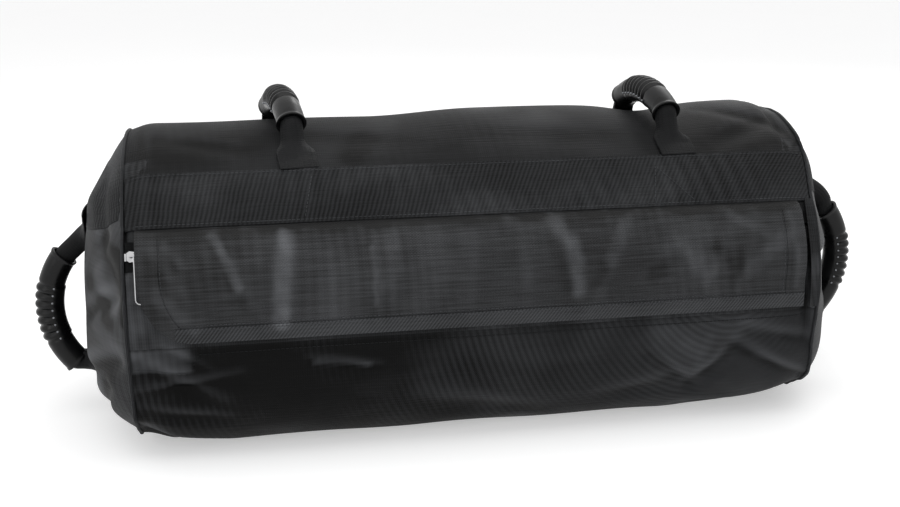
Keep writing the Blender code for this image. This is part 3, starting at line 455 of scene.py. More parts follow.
def hard_finish(name, low, high, roughness, grain_scale, grain_depth, metallic=0.0, gloss_level=0.5):
    """Moulded rubber or plated metal: worn patches in its gloss and a fine grain in its surface."""
    made, tree, shader = new_material(name)
    coordinates = add_node(tree, "ShaderNodeTexCoord")
    wear = add_node(tree, "ShaderNodeGroup", {"Scale": 34.0}, node_tree=wear_group)
    grain = add_node(tree, "ShaderNodeTexNoise", {"Scale": grain_scale, "Detail": 3.0})
    colour = add_node(tree, "ShaderNodeMix", {"A": low, "B": high}, data_type="RGBA")
    gloss = add_node(tree, "ShaderNodeMapRange", {
        "From Min": 0.3, "From Max": 0.7,
        "To Min": roughness - GLOSS_SPREAD, "To Max": roughness + GLOSS_SPREAD})
    bump = add_node(tree, "ShaderNodeBump", {"Strength": 0.5, "Distance": grain_depth})
    join(
        tree,
        (coordinates.outputs["Object"], wear.inputs["Vector"]),
        (coordinates.outputs["Object"], grain.inputs["Vector"]),
        (wear.outputs["Patches"], colour.inputs["Factor"]),
        (colour.outputs["Result"], shader.inputs["Base Color"]),
        (wear.outputs["Patches"], gloss.inputs["Value"]),
        (gloss.outputs["Result"], shader.inputs["Roughness"]),
        (grain.outputs["Fac"], bump.inputs["Height"]),
        (bump.outputs["Normal"], shader.inputs["Normal"]),
    )
    shader.inputs["Metallic"].default_value = metallic
    shader.inputs["Specular IOR Level"].default_value = gloss_level
    return made


grip_rubber = hard_finish("moulded_rubber", grey(0.002), grey(0.005), 0.34, 900.0, 0.0001, gloss_level=0.22)
# The pips' pale grey is a painted glint where the grooves end.
glint_painted_pip_rubber = hard_finish("pip_with_painted_glint", grey(0.22), grey(0.34), 0.4, 900.0, 0.00005)
nickel = hard_finish(
    "nickel_plate", (0.5, 0.5, 0.51, 1.0), (0.72, 0.72, 0.73, 1.0), 0.24, 1500.0, 0.00005, metallic=1.0)
coil_nylon = hard_finish("coil_nylon", grey(0.01), grey(0.022), 0.42, 1200.0, 0.00005)
print("hard finishes ready")

# %% [markdown]
# ## The shape of the bag
#
# The bag is a tube of cloth, round above and flattened where it lies on the floor. A place on it is given by
# x, along the bag, and by the angle above the front horizontal, as seen from its middle line. These few
# functions say where such a place is, so that every strip of webbing can be laid from the same numbers.

# %% Places on the ideal bag
HALF_LENGTH = 0.340
BAG_RADIUS = 0.168
CENTRE_HEIGHT = 0.135
BASE_FLATTENING = 0.010
BASE_POWER = 3.0
END_ROUNDING = 0.040
SEAM_LIFT = 0.006
LIFT_BLEND = 0.35
DOME_HEIGHT = 0.050
DOME_POWER = 2.6
DOME_LOW_POWER = 4.5
DOME_LOW_BLEND = 0.7
LEAN = 0.011
LEAN_LENGTH = 0.14


def ease(share):
    """0 to 1, slow at both ends. Works on numbers and on arrays."""
    share = np.clip(share, 0.0, 1.0)
    return share * share * (3.0 - 2.0 * share)


def within(value, start, end, fade_in, fade_out):
    """1 between two levels of a value, eased to 0 just inside them."""
    return ease((value - start) / fade_in) * ease((end - value) / fade_out)


def section_point(angle):
    """(y, z) on the bag's section at angles above the front horizontal."""
    angle = np.asarray(angle, float)
    sine, cosine = np.sin(angle), np.cos(angle)
    down = np.maximum(-sine, 1e-9)
    rounded = (
        (np.abs(cosine) / BAG_RADIUS) ** BASE_POWER + (down / (CENTRE_HEIGHT + BASE_FLATTENING)) ** BASE_POWER
    ) ** (-1.0 / BASE_POWER)
    radius = np.where(sine >= 0.0, BAG_RADIUS, np.minimum(rounded, CENTRE_HEIGHT / down))
    return np.stack([-radius * cosine, CENTRE_HEIGHT + radius * sine], -1)


def section_normal(angle):
    """(y, z) of the outward normal of the bag's section."""
    step = math.radians(0.4)
    along = section_point(np.asarray(angle) + step) - section_point(np.asarray(angle) - step)
    along /= np.linalg.norm(along, axis=-1, keepdims=True)
    return np.stack([-along[..., 1], along[..., 0]], -1)


def ideal_place(x, angle, offset=0.0):
    """A point at an offset outside the ideal bag, as the CAD frame has it."""
    near_end = ease((np.abs(x) - HALF_LENGTH + END_ROUNDING) / END_ROUNDING)
    out = offset - SEAM_LIFT * near_end * ease(-np.sin(angle) / LIFT_BLEND)
    flat = section_point(angle) + section_normal(angle) * np.asarray(out)[..., None]
    return np.stack([np.broadcast_to(x, flat.shape[:-1]), flat[..., 0], flat[..., 1]], -1)


def ideal_point(x, arc, offset):
    """The same for one x and one distance along the cloth from the front horizontal."""
    return Vector(ideal_place(np.array(x), np.array(arc / BAG_RADIUS), offset))


def leaned(x, angle):
    """The bag's right end leans out over its top and under its base. Gives the x of a place on the tube."""
    rise = np.sin(angle)
    share = np.maximum(ease((rise - 0.55) / 0.4), 0.9 * ease((-rise - 0.2) / 0.5))
    return x + LEAN * share * ease((np.asarray(x) - HALF_LENGTH + LEAN_LENGTH) / LEAN_LENGTH)


print("bag top at", ideal_place(np.array(0.0), np.array(math.pi / 2)).round(4))

# %% Helpers for modelling
ALONG_X = (0.0, math.pi / 2, 0.0)


def deselect_all():
    if bpy.context.object and bpy.context.object.mode != "OBJECT":
        bpy.ops.object.mode_set(mode="OBJECT")
    bpy.ops.object.select_all(action="DESELECT")


def activate(piece):
    deselect_all()
    bpy.context.view_layer.objects.active = piece
    piece.select_set(True)


def read_all(items, key, width=1, kind=float):
    """The same value, or row of values, of every point, corner or face in a mesh."""
    found = np.empty(len(items) * width, kind)
    items.foreach_get(key, found)
    return found.reshape(-1, width) if width > 1 else found


def coordinates_of(piece):
    return read_all(piece.data.vertices, "co", 3)


def corner_points_of(piece):
    """The number of the point at each corner of each face."""
    return read_all(piece.data.loops, "vertex_index", kind=int)


def set_coordinates(piece, points):
    piece.data.vertices.foreach_set("co", np.asarray(points, float).ravel())
    piece.data.update()


def apply_modifier(piece, kind, **settings):
    """Adds a modifier with its settings and applies it."""
    activate(piece)
    added = piece.modifiers.new(kind.lower(), kind)
    for key, value in settings.items():
        setattr(added, key, value)
    bpy.ops.object.modifier_apply(modifier=added.name)


def add_shape(add, name, **settings):
    """Adds one of the basic meshes under a name, with its place and turn applied."""
    deselect_all()
    add(**settings)
    piece = bpy.context.object
    piece.name = name
    bpy.ops.object.transform_apply(location=True, rotation=True, scale=True)
    return piece


def copy_of(pattern, name):
    activate(pattern)
    bpy.ops.object.duplicate()
    piece = bpy.context.object
    piece.name = name
    return piece


def smooth_shade(piece, angle):
    activate(piece)
    bpy.ops.object.shade_smooth_by_angle(angle=math.radians(angle))


def finish_piece(piece, finish, body, slot, replaced=()):
    """Gives a piece its finish, the body it rides on and the CAD nodes it stands for. Its slot is not used.
    """
    if finish is not None:
        piece.data.materials.clear()
        piece.data.materials.append(finish)
    if body is not None:
        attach(piece, body)
    if replaced:
        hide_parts(*replaced)
    print(piece.name, len(piece.data.polygons), "faces")
    return piece


def set_cloth_map(piece, per_vertex):
    """Writes a map in metres from one (u, v) for each vertex."""
    while piece.data.uv_layers:
        piece.data.uv_layers.remove(piece.data.uv_layers[0])
    layer = piece.data.uv_layers.new(name=CLOTH_MAP)
    layer.data.foreach_set("uv", np.asarray(per_vertex, float)[corner_points_of(piece)].ravel())


def cloth_map_of(piece):
    """The (u, v) in metres of each vertex, read back from the map."""
    found = np.zeros((len(piece.data.vertices), 2))
    found[corner_points_of(piece)] = read_all(piece.data.uv_layers[CLOTH_MAP].data, "uv", 2)
    return found


def ripples(points, scale, seed):
    """Smooth noise from -1 to 1 at each point, stretched by a scale for each axis."""
    return np.array([
        noise.noise(Vector((x * scale[0] + seed, y * scale[1], z * scale[2]))) for x, y, z in points])


# %% [markdown]
# ## The bag's cloth
#
# The real bag is five pieces of nylon, sewn into a tube with two domed ends. Here it starts as a cylinder
# that is cut along its length and closed with a grid of faces at both ends. It is pushed into the section
# above, given some slack cloth near its seams, and then a cloth simulation blows it up from inside while the
# seams, the zip and the patch on the floor are held. That makes the soft swell between seams that is hard to
# model by hand. Afterwards the mesh is parted along its seams into the five pieces.

# %% A cylinder becomes the bag's net
FRONT_SEAM = -3.75  # in degrees above the front horizontal, as are the zip's two edges and the seam behind
ZIP_LOW = 21.14
ZIP_HIGH = 30.69
REAR_SEAM = 183.75
# where the base, the front, the zip and the top start and end, and how many points each one gets
RING_PARTS = ((REAR_SEAM - 360.0, FRONT_SEAM, 76), (FRONT_SEAM, ZIP_LOW, 10), (ZIP_LOW, ZIP_HIGH, 4),
              (ZIP_HIGH, REAR_SEAM, 66))
RING_COUNT = sum(count for _, _, count in RING_PARTS)
LENGTH_CUTS = 99
END_SPAN = RING_COUNT // 4
AT_EDGE = 1e-5  # a point this near to an edge lies on it
RIM_SHARE = 0.999  # a point this far out from the middle of an end lies on the tube

ring_table = np.concatenate(
    [np.linspace(start, end, count, endpoint=False) for start, end, count in RING_PARTS] + [[REAR_SEAM]])

bag = add_shape(bpy.ops.mesh.primitive_cylinder_add, "bag_cloth", vertices=RING_COUNT, radius=1.0,
                depth=2 * HALF_LENGTH, end_fill_type="NOTHING", rotation=ALONG_X)
bpy.ops.object.mode_set(mode="EDIT")
bpy.ops.mesh.select_mode(type="EDGE")


def select_edges(test):
    """Selects the edges of the mesh being edited whose two ends pass a test."""
    bpy.ops.mesh.select_all(action="DESELECT")
    net = bmesh.from_edit_mesh(bpy.context.object.data)
    for edge in net.edges:
        edge.select_set(test(edge.verts[0].co, edge.verts[1].co))
    bmesh.update_edit_mesh(bpy.context.object.data)


select_edges(lambda a, b: abs(a.x - b.x) > HALF_LENGTH)
bpy.ops.mesh.subdivide(number_cuts=LENGTH_CUTS)
for end in (-HALF_LENGTH, HALF_LENGTH):
    select_edges(lambda a, b: abs(a.x - end) < AT_EDGE and abs(b.x - end) < AT_EDGE)
    bpy.ops.mesh.fill_grid(span=END_SPAN)
bpy.ops.mesh.select_all(action="SELECT")
bpy.ops.mesh.normals_make_consistent(inside=False)
bpy.ops.object.mode_set(mode="OBJECT")
print("net:", len(bag.data.vertices), "points")

# %% The net takes the bag's shape
net = coordinates_of(bag)
share = np.minimum(np.hypot(net[:, 1], net[:, 2]), 1.0)
turn = np.degrees(np.arctan2(net[:, 2], -net[:, 1]))


def spread_turn(turn):
    """The angle on the bag, in degrees, for a turn round the even net."""
    return np.interp((turn + 180.0) / 360.0 * RING_COUNT, np.arange(RING_COUNT + 1), ring_table)


angle = np.radians(spread_turn(turn))
side = np.sign(net[:, 0])
on_end = share < RIM_SHARE

tube = ideal_place(net[:, 0], angle)
tube[:, 0] = leaned(net[:, 0], angle)
seam = ideal_place(side * HALF_LENGTH, angle)
middle = np.stack([side * HALF_LENGTH, np.zeros(len(net)), np.full(len(net), CENTRE_HEIGHT)], -1)
dome = middle + (seam - middle) * share[:, None]
seam_x = leaned(side * HALF_LENGTH, angle)
dome[:, 0] = seam_x * share**2 + side * HALF_LENGTH * (1.0 - share**2)
fall = DOME_POWER + (DOME_LOW_POWER - DOME_POWER) * ease(-np.sin(angle) / DOME_LOW_BLEND)
dome[:, 0] += side * DOME_HEIGHT * (1.0 - share**fall)
shape = np.where(on_end[:, None], dome, tube)

# Each face is told which piece of cloth it belongs to.
REGIONS = ("top_cloth", "front_cloth", "base_cloth", "end_cloth_left", "end_cloth_right", "zip_gap")
for region in REGIONS:
    bag.data.materials.append(bpy.data.materials.new(region))
degrees = np.degrees(angle)
for face in bag.data.polygons:
    corners = list(face.vertices)
    here = spread_turn(math.degrees(math.atan2(face.center.z, -face.center.y)))
    if np.abs(net[corners, 0]).min() > HALF_LENGTH - AT_EDGE:
        region = "end_cloth_left" if net[corners[0], 0] < 0 else "end_cloth_right"
    elif here < FRONT_SEAM:
        region = "base_cloth"
    elif here < ZIP_LOW:
        region = "front_cloth"
    elif here < ZIP_HIGH:
        region = "zip_gap"
    else:
        region = "top_cloth"
    face.material_index = REGIONS.index(region)

arc = angle * BAG_RADIUS
END_PLAN = 1.0
tube_plan = np.stack([net[:, 0], arc], -1)
end_plan = np.stack([dome[:, 1] + side * END_PLAN, dome[:, 2]], -1)
set_cloth_map(bag, np.where(on_end[:, None], end_plan, tube_plan))
corner_points = corner_points_of(bag)
plan = tube_plan[corner_points]
for face in bag.data.polygons:
    if REGIONS[face.material_index].startswith("end"):
        corners = list(face.loop_indices)
        plan[corners] = end_plan[corner_points[corners]]
bag.data.uv_layers[CLOTH_MAP].data.foreach_set("uv", plan.ravel())

# The two seams are remembered as groups, so that the piping can find them after the simulation.
for word, way in (("left", -1), ("right", 1)):
    ring = np.nonzero((np.abs(net[:, 0]) > HALF_LENGTH - AT_EDGE) & (side == way) & (share > RIM_SHARE))[0]
    bag.vertex_groups.new(name=f"seam_{word}").add([int(index) for index in ring], 1.0, "REPLACE")
print("regions:", REGIONS)

# %% Slack cloth: folds before the simulation
SLACK_NEAR_SEAM = 0.0042
SLACK_ON_BASE = 0.0046
SLACK_ON_TOP = 0.0024
SLACK_ON_END = 0.0060
SEAM_FADE = 0.045
TOP_FULLNESS = 0.0065
UNDER_HANDLE = 1.2
BASE_LIFT = (0.0075, 0.0090)  # at the left end, at the right end
BASE_LIFT_LENGTH = (0.040, 0.085)
TOP_DROOP = (0.0065, 0.0040)
TOP_DROOP_LENGTH = (0.030, 0.045)


def at_its_end(left_and_right):
    """Each point's own value, out of one for the left end and one for the right."""
    return np.where(side < 0, *left_and_right)


to_seam = HALF_LENGTH - np.abs(net[:, 0])
unrolled = np.stack([net[:, 0], arc, np.zeros(len(net))], -1)
pucker = ripples(unrolled, (9.0, 52.0, 1.0), 3.1) * np.exp(-to_seam / SEAM_FADE)
creases = 1.0 - np.abs(ripples(unrolled, (7.0, 19.0, 1.0), 11.7)) * 2.2
swell = ripples(unrolled, (6.0, 7.0, 1.0), 23.4)
low_side = within(-degrees, 4.0, 66.0, 12.0, 14.0)
low_rear = ease((-degrees - 114.0) / 14.0)
high = within(degrees, 58.0, 122.0, 10.0, 10.0)
rear = ease((degrees - 126.0) / 10.0)
push = pucker * SLACK_NEAR_SEAM * (0.35 + 0.65 * (low_side + low_rear + rear))
push += creases * SLACK_ON_BASE * (low_side + low_rear + rear * 0.6) * 0.5
push += swell * SLACK_ON_TOP * (high + rear)
droop = at_its_end(TOP_DROOP)
high_turn = ease((degrees - 20.0) / 30.0)
push -= droop * ease(1.0 - to_seam / at_its_end(TOP_DROOP_LENGTH)) ** 2 * high_turn
full = ease((net[:, 0] + 0.10) / 0.12) * ease(to_seam / 0.03)
full *= 1.0 - UNDER_HANDLE * np.exp(-((net[:, 0] - 0.205) / 0.040) ** 2)
push += TOP_FULLNESS * full * within(degrees, 54.0, 152.0, 34.0, 34.0)
lift = at_its_end(BASE_LIFT)
low_turn = within(-degrees, 22.0, 158.0, 26.0, 26.0)
push -= lift * ease(1.0 - to_seam / at_its_end(BASE_LIFT_LENGTH)) * low_turn
normal = section_normal(angle)
out = np.stack([np.zeros(len(net)), normal[:, 0], normal[:, 1]], -1)
shape = shape + np.where(on_end[:, None], 0.0, out * push[:, None])

# The ends follow the seam that has just moved, and get folds of their own.
ends_seam_push = -droop * high_turn - lift * low_turn
end_folds = (1.0 - np.abs(ripples(dome, (1.0, 11.0, 16.0), 5.0)) * 2.4) * SLACK_ON_END
end_folds *= np.clip(1.0 - share**3, 0.0, 1.0)
end_shape = dome + out * (ends_seam_push * share**2)[:, None]
end_shape[:, 0] += side * end_folds
shape = np.where(on_end[:, None], end_shape, shape)
shape[:, 2] = np.maximum(shape[:, 2], 0.0)
set_coordinates(bag, shape)
print("slack cloth added")

# %% The simulation
PRESSURE = 4.0
FRAMES = 20
MOST_SWELL = 0.009

under_front_band = (degrees > -3.0) & (degrees < 56.0)
under_rear_band = (degrees > 124.0) & (degrees < 147.0)
held = np.where(on_end, share > 0.96, (to_seam < 0.004) | under_front_band | under_rear_band)
held |= shape[:, 2] < 0.0025  # the patch on the floor


def blow_up(piece, held):
    """Runs the cloth simulation from inside, with some points held, and keeps its result."""
    group = piece.vertex_groups.new(name="held")
    group.add([int(index) for index in np.nonzero(held)[0]], 1.0, "REPLACE")
    start = coordinates_of(piece)
    activate(piece)
    cloth = piece.modifiers.new("cloth", "CLOTH")
    settings = cloth.settings
    settings.quality = 6
    settings.mass = 0.25
    settings.tension_stiffness = 14.0
    settings.compression_stiffness = 14.0
    settings.shear_stiffness = 4.0
    settings.bending_stiffness = 0.35
    settings.tension_damping = 12.0
    settings.compression_damping = 12.0
    settings.use_pressure = True
    settings.uniform_pressure_force = PRESSURE
    settings.vertex_group_mass = group.name
    settings.effector_weights.gravity = 0.0
    cloth.collision_settings.use_collision = False
    cloth.point_cache.frame_start = 1
    cloth.point_cache.frame_end = FRAMES
    for number in range(1, FRAMES + 1):
        bpy.context.scene.frame_set(number)
    bpy.ops.object.modifier_apply(modifier=cloth.name)
    bpy.context.scene.frame_set(1)
    swelled = coordinates_of(piece) - start
    distance = np.linalg.norm(swelled, axis=1)
    cap = np.minimum(distance, MOST_SWELL) / np.maximum(distance, 1e-9)
    set_coordinates(piece, start + swelled * cap[:, None])
    print("simulated", piece.name, "- most swell", round(float(distance.max()) * 1000, 1), "mm")


blow_up(bag, held)
if "held" in bag.vertex_groups:
    bag.vertex_groups.remove(bag.vertex_groups["held"])
points = coordinates_of(bag)
points[:, 2] = np.maximum(points[:, 2], 0.0)
# Where an end handle's grip swings past it, the end cloth keeps to its plain dome.
MOST_BULGE = 0.0005
GRIP_ROOM_HALF_WIDTH = 0.095
GRIP_ROOM_LOW = 0.02
GRIP_ROOM_HIGH = 0.215
grip_room = within(points[:, 2], GRIP_ROOM_LOW, GRIP_ROOM_HIGH, 0.02, 0.02)
grip_room *= ease((GRIP_ROOM_HALF_WIDTH - np.abs(points[:, 1])) / 0.03) * on_end
bulge = side * (points[:, 0] - dome[:, 0])
points[:, 0] -= side * grip_room * np.maximum(bulge - MOST_BULGE, 0.0)
set_coordinates(bag, points)
apply_modifier(bag, "SUBSURF", levels=1, render_levels=1)
print("bag:", len(bag.data.polygons), "faces")

# %% [markdown]
# ### Creases from the photograph
#
# The simulation makes cloth in general. The folds that make this bag this bag are pressed in afterwards: each
# is a short line on the tube or on an end, with a valley on one side of it and a ridge on the other. Light on
# a ridge and shade in a valley are painted into the colour, and so are streaks and patches of light and shade
# that were set after the photograph. All of that painted light is kept as one number at each point, which the
# finish reads.

# %% Folds of the tube
# x and angle at one end, x and angle at the other, half width in metres, depth in metres
TUBE_FOLDS = (
    (-0.336, -9.0, -0.262, -24.0, 0.010, 0.0045),
    (-0.338, -40.0, -0.246, -58.0, 0.014, 0.0080),
    (-0.334, -20.0, -0.240, -15.0, 0.008, 0.0045),
    (-0.330, -27.0, -0.255, -31.0, 0.008, 0.0040),
    (-0.312, -4.0, -0.270, -12.0, 0.006, 0.0030),
    (-0.172, -11.0, -0.110, -14.5, 0.006, 0.0046),
    (0.250, -15.0, 0.336, -33.0, 0.010, 0.0075),
    (0.268, -10.0, 0.335, -16.0, 0.009, 0.0050),
    (0.215, -44.0, 0.300, -50.0, 0.011, 0.0045),
    (0.120, -33.0, 0.225, -27.0, 0.013, 0.0035),
    (0.165, -17.0, 0.212, -31.0, 0.010, 0.0055),
    (0.255, -16.0, 0.214, -31.0, 0.010, -0.0050),
    (-0.060, -30.0, 0.060, -38.0, 0.015, 0.0030),
    (0.324, 84.0, 0.328, 62.0, 0.006, 0.0040),
    (0.333, 24.0, 0.331, -14.0, 0.006, 0.0045),
    (0.312, 24.0, 0.330, -6.0, 0.007, 0.0035),
    (-0.336, 52.0, -0.337, 22.0, 0.005, 0.0050),
    (-0.322, 88.0, -0.322, 60.0, 0.008, 0.0020),
    (-0.300, 74.0, -0.225, 66.0, 0.012, 0.0020),
    (-0.190, 76.0, -0.060, 68.0, 0.020, 0.0018),
    (0.020, 70.0, 0.150, 66.0, 0.020, 0.0018),
    (0.240, 60.0, 0.305, 72.0, 0.014, 0.0032),
    (0.262, 84.0, 0.322, 70.0, 0.012, 0.0030),
)


def beside(flat, start, end, half_width):
    """How far along a line each point lies, 0 to 1, and its half widths across the line and away from it."""
    start = np.array(start)
    line = np.array(end) - start
    length = np.linalg.norm(line)
    line /= length
    away = flat - start
    along = np.clip(away @ line / length, 0.0, 1.0)
    across = away @ np.array([-line[1], line[0]]) / half_width
    return along, across, np.linalg.norm(away - np.outer(along * length, line), axis=1) / half_width


def on_plan(x, degrees):
    """A place on the tube, in metres on its cloth."""
    return x, math.radians(degrees) * BAG_RADIUS


def strength_along(along):
    """A fold is strongest in its middle and fades towards its ends."""
    return 0.35 + 0.65 * np.sin(np.pi * np.clip(along, 0.05, 0.95))


def painted_light(along, across, beyond, depth):
    """The painted light on a fold's ridge and the painted shade in its valley, from -1 to 1."""
    near_line = np.exp(-np.maximum(beyond**2 - across**2, 0.0)) * strength_along(along)
    ridge = np.exp(-(((across - 0.85) / 0.6) ** 2))
    valley = np.exp(-(((across + 0.05) / 0.5) ** 2))
    return np.clip(depth / 0.006, 0.0, 1.2) * near_line * (ridge - 0.6 * valley)


def mark_painted_light(piece, values):
    """Keeps the painted light and shade on the piece's points, where its finish reads it."""
    marks = piece.data.attributes.new(PAINTED_LIGHT_ATTRIBUTE, "FLOAT", "POINT")
    marks.data.foreach_set("value", np.asarray(values, dtype=np.float32))


cut = cloth_map_of(bag)
points = coordinates_of(bag)
bag_normals = read_all(bag.data.vertices, "normal", 3)
end_point = np.abs(cut[:, 0]) > (HALF_LENGTH + END_PLAN) / 2
tube_point = ~end_point
from_seam = ease((HALF_LENGTH - np.abs(cut[:, 0])) / 0.006)
push = np.zeros(len(points))
# Painted light and shade at each point: light on ridges, streaks and patches, shade in valleys and hollows.
painted_light_and_shade = np.zeros(len(points))
for x_start, angle_start, x_end, angle_end, half_width, depth in TUBE_FOLDS:
    along, across, beyond = beside(cut, on_plan(x_start, angle_start), on_plan(x_end, angle_end), half_width)
    fade = np.exp(-beyond**2) * strength_along(along)
    push -= abs(depth) * fade * (1.0 - 0.7 * across * np.sign(depth))
    painted_light_and_shade += painted_light(along, across * np.sign(depth), beyond, abs(depth)) * tube_point
push *= tube_point * from_seam
points += bag_normals * push[:, None]

# end, y and z at one end, y and z at the other, half width, depth
END_FOLDS = (
    (-1, -0.160, 0.188, -0.104, 0.212, 0.009, 0.0030),
    (-1, -0.158, 0.176, -0.090, 0.140, 0.010, 0.0060),
    (-1, -0.150, 0.110, -0.040, 0.060, 0.012, 0.0055),
    (-1, -0.120, 0.075, -0.070, 0.028, 0.010, 0.0060),
    (-1, -0.060, 0.250, -0.110, 0.215, 0.010, 0.0045),
    (1, -0.140, 0.180, -0.070, 0.130, 0.012, 0.0060),
    (1, 0.130, 0.190, 0.060, 0.120, 0.012, 0.0060),
    (1, 0.110, 0.060, 0.030, 0.030, 0.012, 0.0050),
)
rim = np.hypot(points[:, 1], points[:, 2] - CENTRE_HEIGHT) / BAG_RADIUS
for way, y_start, z_start, y_end, z_end, half_width, depth in END_FOLDS:
    along, across, beyond = beside(points[:, 1:], (y_start, z_start), (y_end, z_end), half_width)
    here = end_point & (np.sign(points[:, 0]) == way)
    fade = np.exp(-beyond**2) * ease((1.0 - rim) / 0.12) * here
    points[:, 0] -= way * depth * fade * (1.0 - 0.7 * across)
    painted_light_and_shade += painted_light(along, across, beyond, depth) * here

# Painted shade in the hollow by the left end's seam, and painted light on its folds: end, y and z at one end,
# y and z at the other, half width, painted light (below 0, painted shade)
END_PAINTED_STREAKS = (
    (-1, -0.106, 0.214, -0.142, 0.205, 0.0085, -1.1),
    (-1, -0.142, 0.205, -0.161, 0.182, 0.0085, -1.1),
    (-1, -0.161, 0.182, -0.165, 0.150, 0.0045, -0.9),
    (-1, -0.118, 0.188, -0.148, 0.160, 0.0090, 0.7),
    (-1, -0.106, 0.172, -0.145, 0.146, 0.0090, -0.7),
    (-1, -0.116, 0.138, -0.152, 0.118, 0.0120, 0.5),
    (-1, -0.130, 0.085, -0.110, 0.050, 0.0120, -0.4),
)
for way, y_start, z_start, y_end, z_end, half_width, light in END_PAINTED_STREAKS:
    beyond = beside(points[:, 1:], (y_start, z_start), (y_end, z_end), half_width)[2]
    painted_light_and_shade += light * np.exp(-beyond**3) * (end_point & (np.sign(points[:, 0]) == way))

# Painted light on the base: painted darker at the left and lighter to the right, as the light falls on it,
# with a lighter, blotchy patch by the left seam on the base and a fainter one on the front.
UNDER_FRONT_SEAM = -3.8
UNDER_ZIP = 21.0
PATCH_RIGHT = -0.279
on_base = tube_point & (cut[:, 1] < math.radians(UNDER_FRONT_SEAM) * BAG_RADIUS)
painted_light_and_shade += on_base * (0.66 * ease((cut[:, 0] + 0.12) / 0.42) - 0.17)
cut_degrees = np.degrees(cut[:, 1] / BAG_RADIUS)
blotches = 1.0 + 0.9 * ripples(np.column_stack([cut, np.zeros(len(cut))]), (45.0, 90.0, 1.0), 2.0)
at_left = ease((PATCH_RIGHT - cut[:, 0]) / 0.010)
corner_patch = at_left * ease((cut_degrees + 13.0) / 1.4)
painted_light_and_shade += 1.7 * on_base * corner_patch * blotches
on_front = tube_point & (cut_degrees > UNDER_FRONT_SEAM) & (cut_degrees < UNDER_ZIP)
painted_light_and_shade += 0.30 * on_front * at_left * blotches

# Streaks of painted light on the tube, and of painted shade where below 0: x and angle at one end, x and
# angle at the other, half width, painted light
TUBE_PAINTED_STREAKS = (
    (-0.328, -35.0, -0.298, -46.0, 0.0080, 0.95),
    (-0.337, -30.0, -0.335, -37.0, 0.0060, -0.50),
    (-0.168, -11.3, -0.118, -13.4, 0.0030, 1.30),
    (0.172, -7.0, 0.208, -16.0, 0.0130, 0.60),
    (0.225, -12.0, 0.216, -22.0, 0.0060, 0.40),
    (0.258, -7.0, 0.300, -12.5, 0.0060, 0.45),
    (0.282, -20.0, 0.325, -27.0, 0.0060, 0.35),
    (-0.060, -22.0, 0.010, -34.0, 0.0200, 0.30),
    (-0.120, 60.0, -0.105, 72.0, 0.0150, -0.50),
    (-0.300, 68.0, -0.230, 70.0, 0.0300, -0.45),
    (0.232, 60.0, 0.246, 74.0, 0.0160, -0.60),
    (0.240, 70.0, 0.310, 68.0, 0.0350, -0.55),
)
for x_start, angle_start, x_end, angle_end, half_width, light in TUBE_PAINTED_STREAKS:
    beyond = beside(cut, on_plan(x_start, angle_start), on_plan(x_end, angle_end), half_width)[2]
    painted_light_and_shade += light * np.exp(-beyond**3) * tube_point * (0.5 + 0.5 * blotches)
mark_painted_light(bag, painted_light_and_shade)
points[:, 2] = np.maximum(points[:, 2], 0.0)
set_coordinates(bag, points)
bag_tree = BVHTree.FromPolygons(
    [Vector(point) for point in points], [list(face.vertices) for face in bag.data.polygons])
print("pressed", len(TUBE_FOLDS), "folds")

# %% The net is parted along its seams
CLOTH_THICKNESS = 0.0016
seam_rings = {}
for word in ("left", "right"):
    group = bag.vertex_groups[f"seam_{word}"].index
    ring = [vertex.co.copy() for vertex in bag.data.vertices
            if any(entry.group == group and entry.weight > 0.99 for entry in vertex.groups)]
    seam_rings[word] = sorted(ring, key=lambda point: math.atan2(point.z - CENTRE_HEIGHT, -point.y))
    print("seam", word, len(ring), "points")
bag.vertex_groups.clear()
activate(bag)
bpy.ops.object.mode_set(mode="EDIT")
bpy.ops.mesh.separate(type="MATERIAL")
bpy.ops.object.mode_set(mode="OBJECT")
cloth_pieces = {}
for piece in list(bpy.context.selected_objects):
    index = piece.data.polygons[0].material_index if len(piece.data.materials) > 1 else 0
    region = piece.data.materials[index].name
    piece.name = region
    cloth_pieces[region] = piece
bpy.data.objects.remove(cloth_pieces.pop("zip_gap"))

# finish, slot, CAD node, flat size, and the area where the flat size is that of a blank
PANEL_FACTS = {
    "top_cloth": (body_cloth, "black_nylon", ("top_panel",), (0.680, 0.449), None),
    "front_cloth": (front_cloth, "black_nylon", ("front_panel",), (0.680, 0.073), None),
    "base_cloth": (base_cloth, "base_nylon", ("base_panel",), (0.680, 0.505), None),
    "end_cloth_left": (end_cloth, "black_nylon", ("end_panel_left",), (0.360, 0.330), 0.0950),
    "end_cloth_right": (end_cloth, "black_nylon", ("end_panel_right",), (0.360, 0.330), 0.0950),
}
for name, (finish, slot, replaced, _, _) in PANEL_FACTS.items():
    piece = cloth_pieces[name]
    apply_modifier(piece, "SOLIDIFY", thickness=CLOTH_THICKNESS, offset=-1.0)
    smooth_shade(piece, 60.0)
    finish_piece(piece, finish, "shell", slot, replaced)
print("cloth pieces:", sorted(cloth_pieces))

# %% Places on the finished cloth
CAST_FROM = 0.5


def straight_out(angle):
    """The direction away from the bag's middle line at an angle."""
    return Vector((0.0, -math.cos(angle), math.sin(angle)))


def on_bag(x, angle, offset=0.0):
    """A point at an offset outside the finished cloth of the tube."""
    away = straight_out(angle)
    x = float(leaned(max(min(x, HALF_LENGTH - 0.001), -HALF_LENGTH + 0.001), angle))
    centre = Vector((x, 0.0, CENTRE_HEIGHT))
    hit, _, _, _ = bag_tree.ray_cast(centre + away * CAST_FROM, -away)
    return hit + away * offset


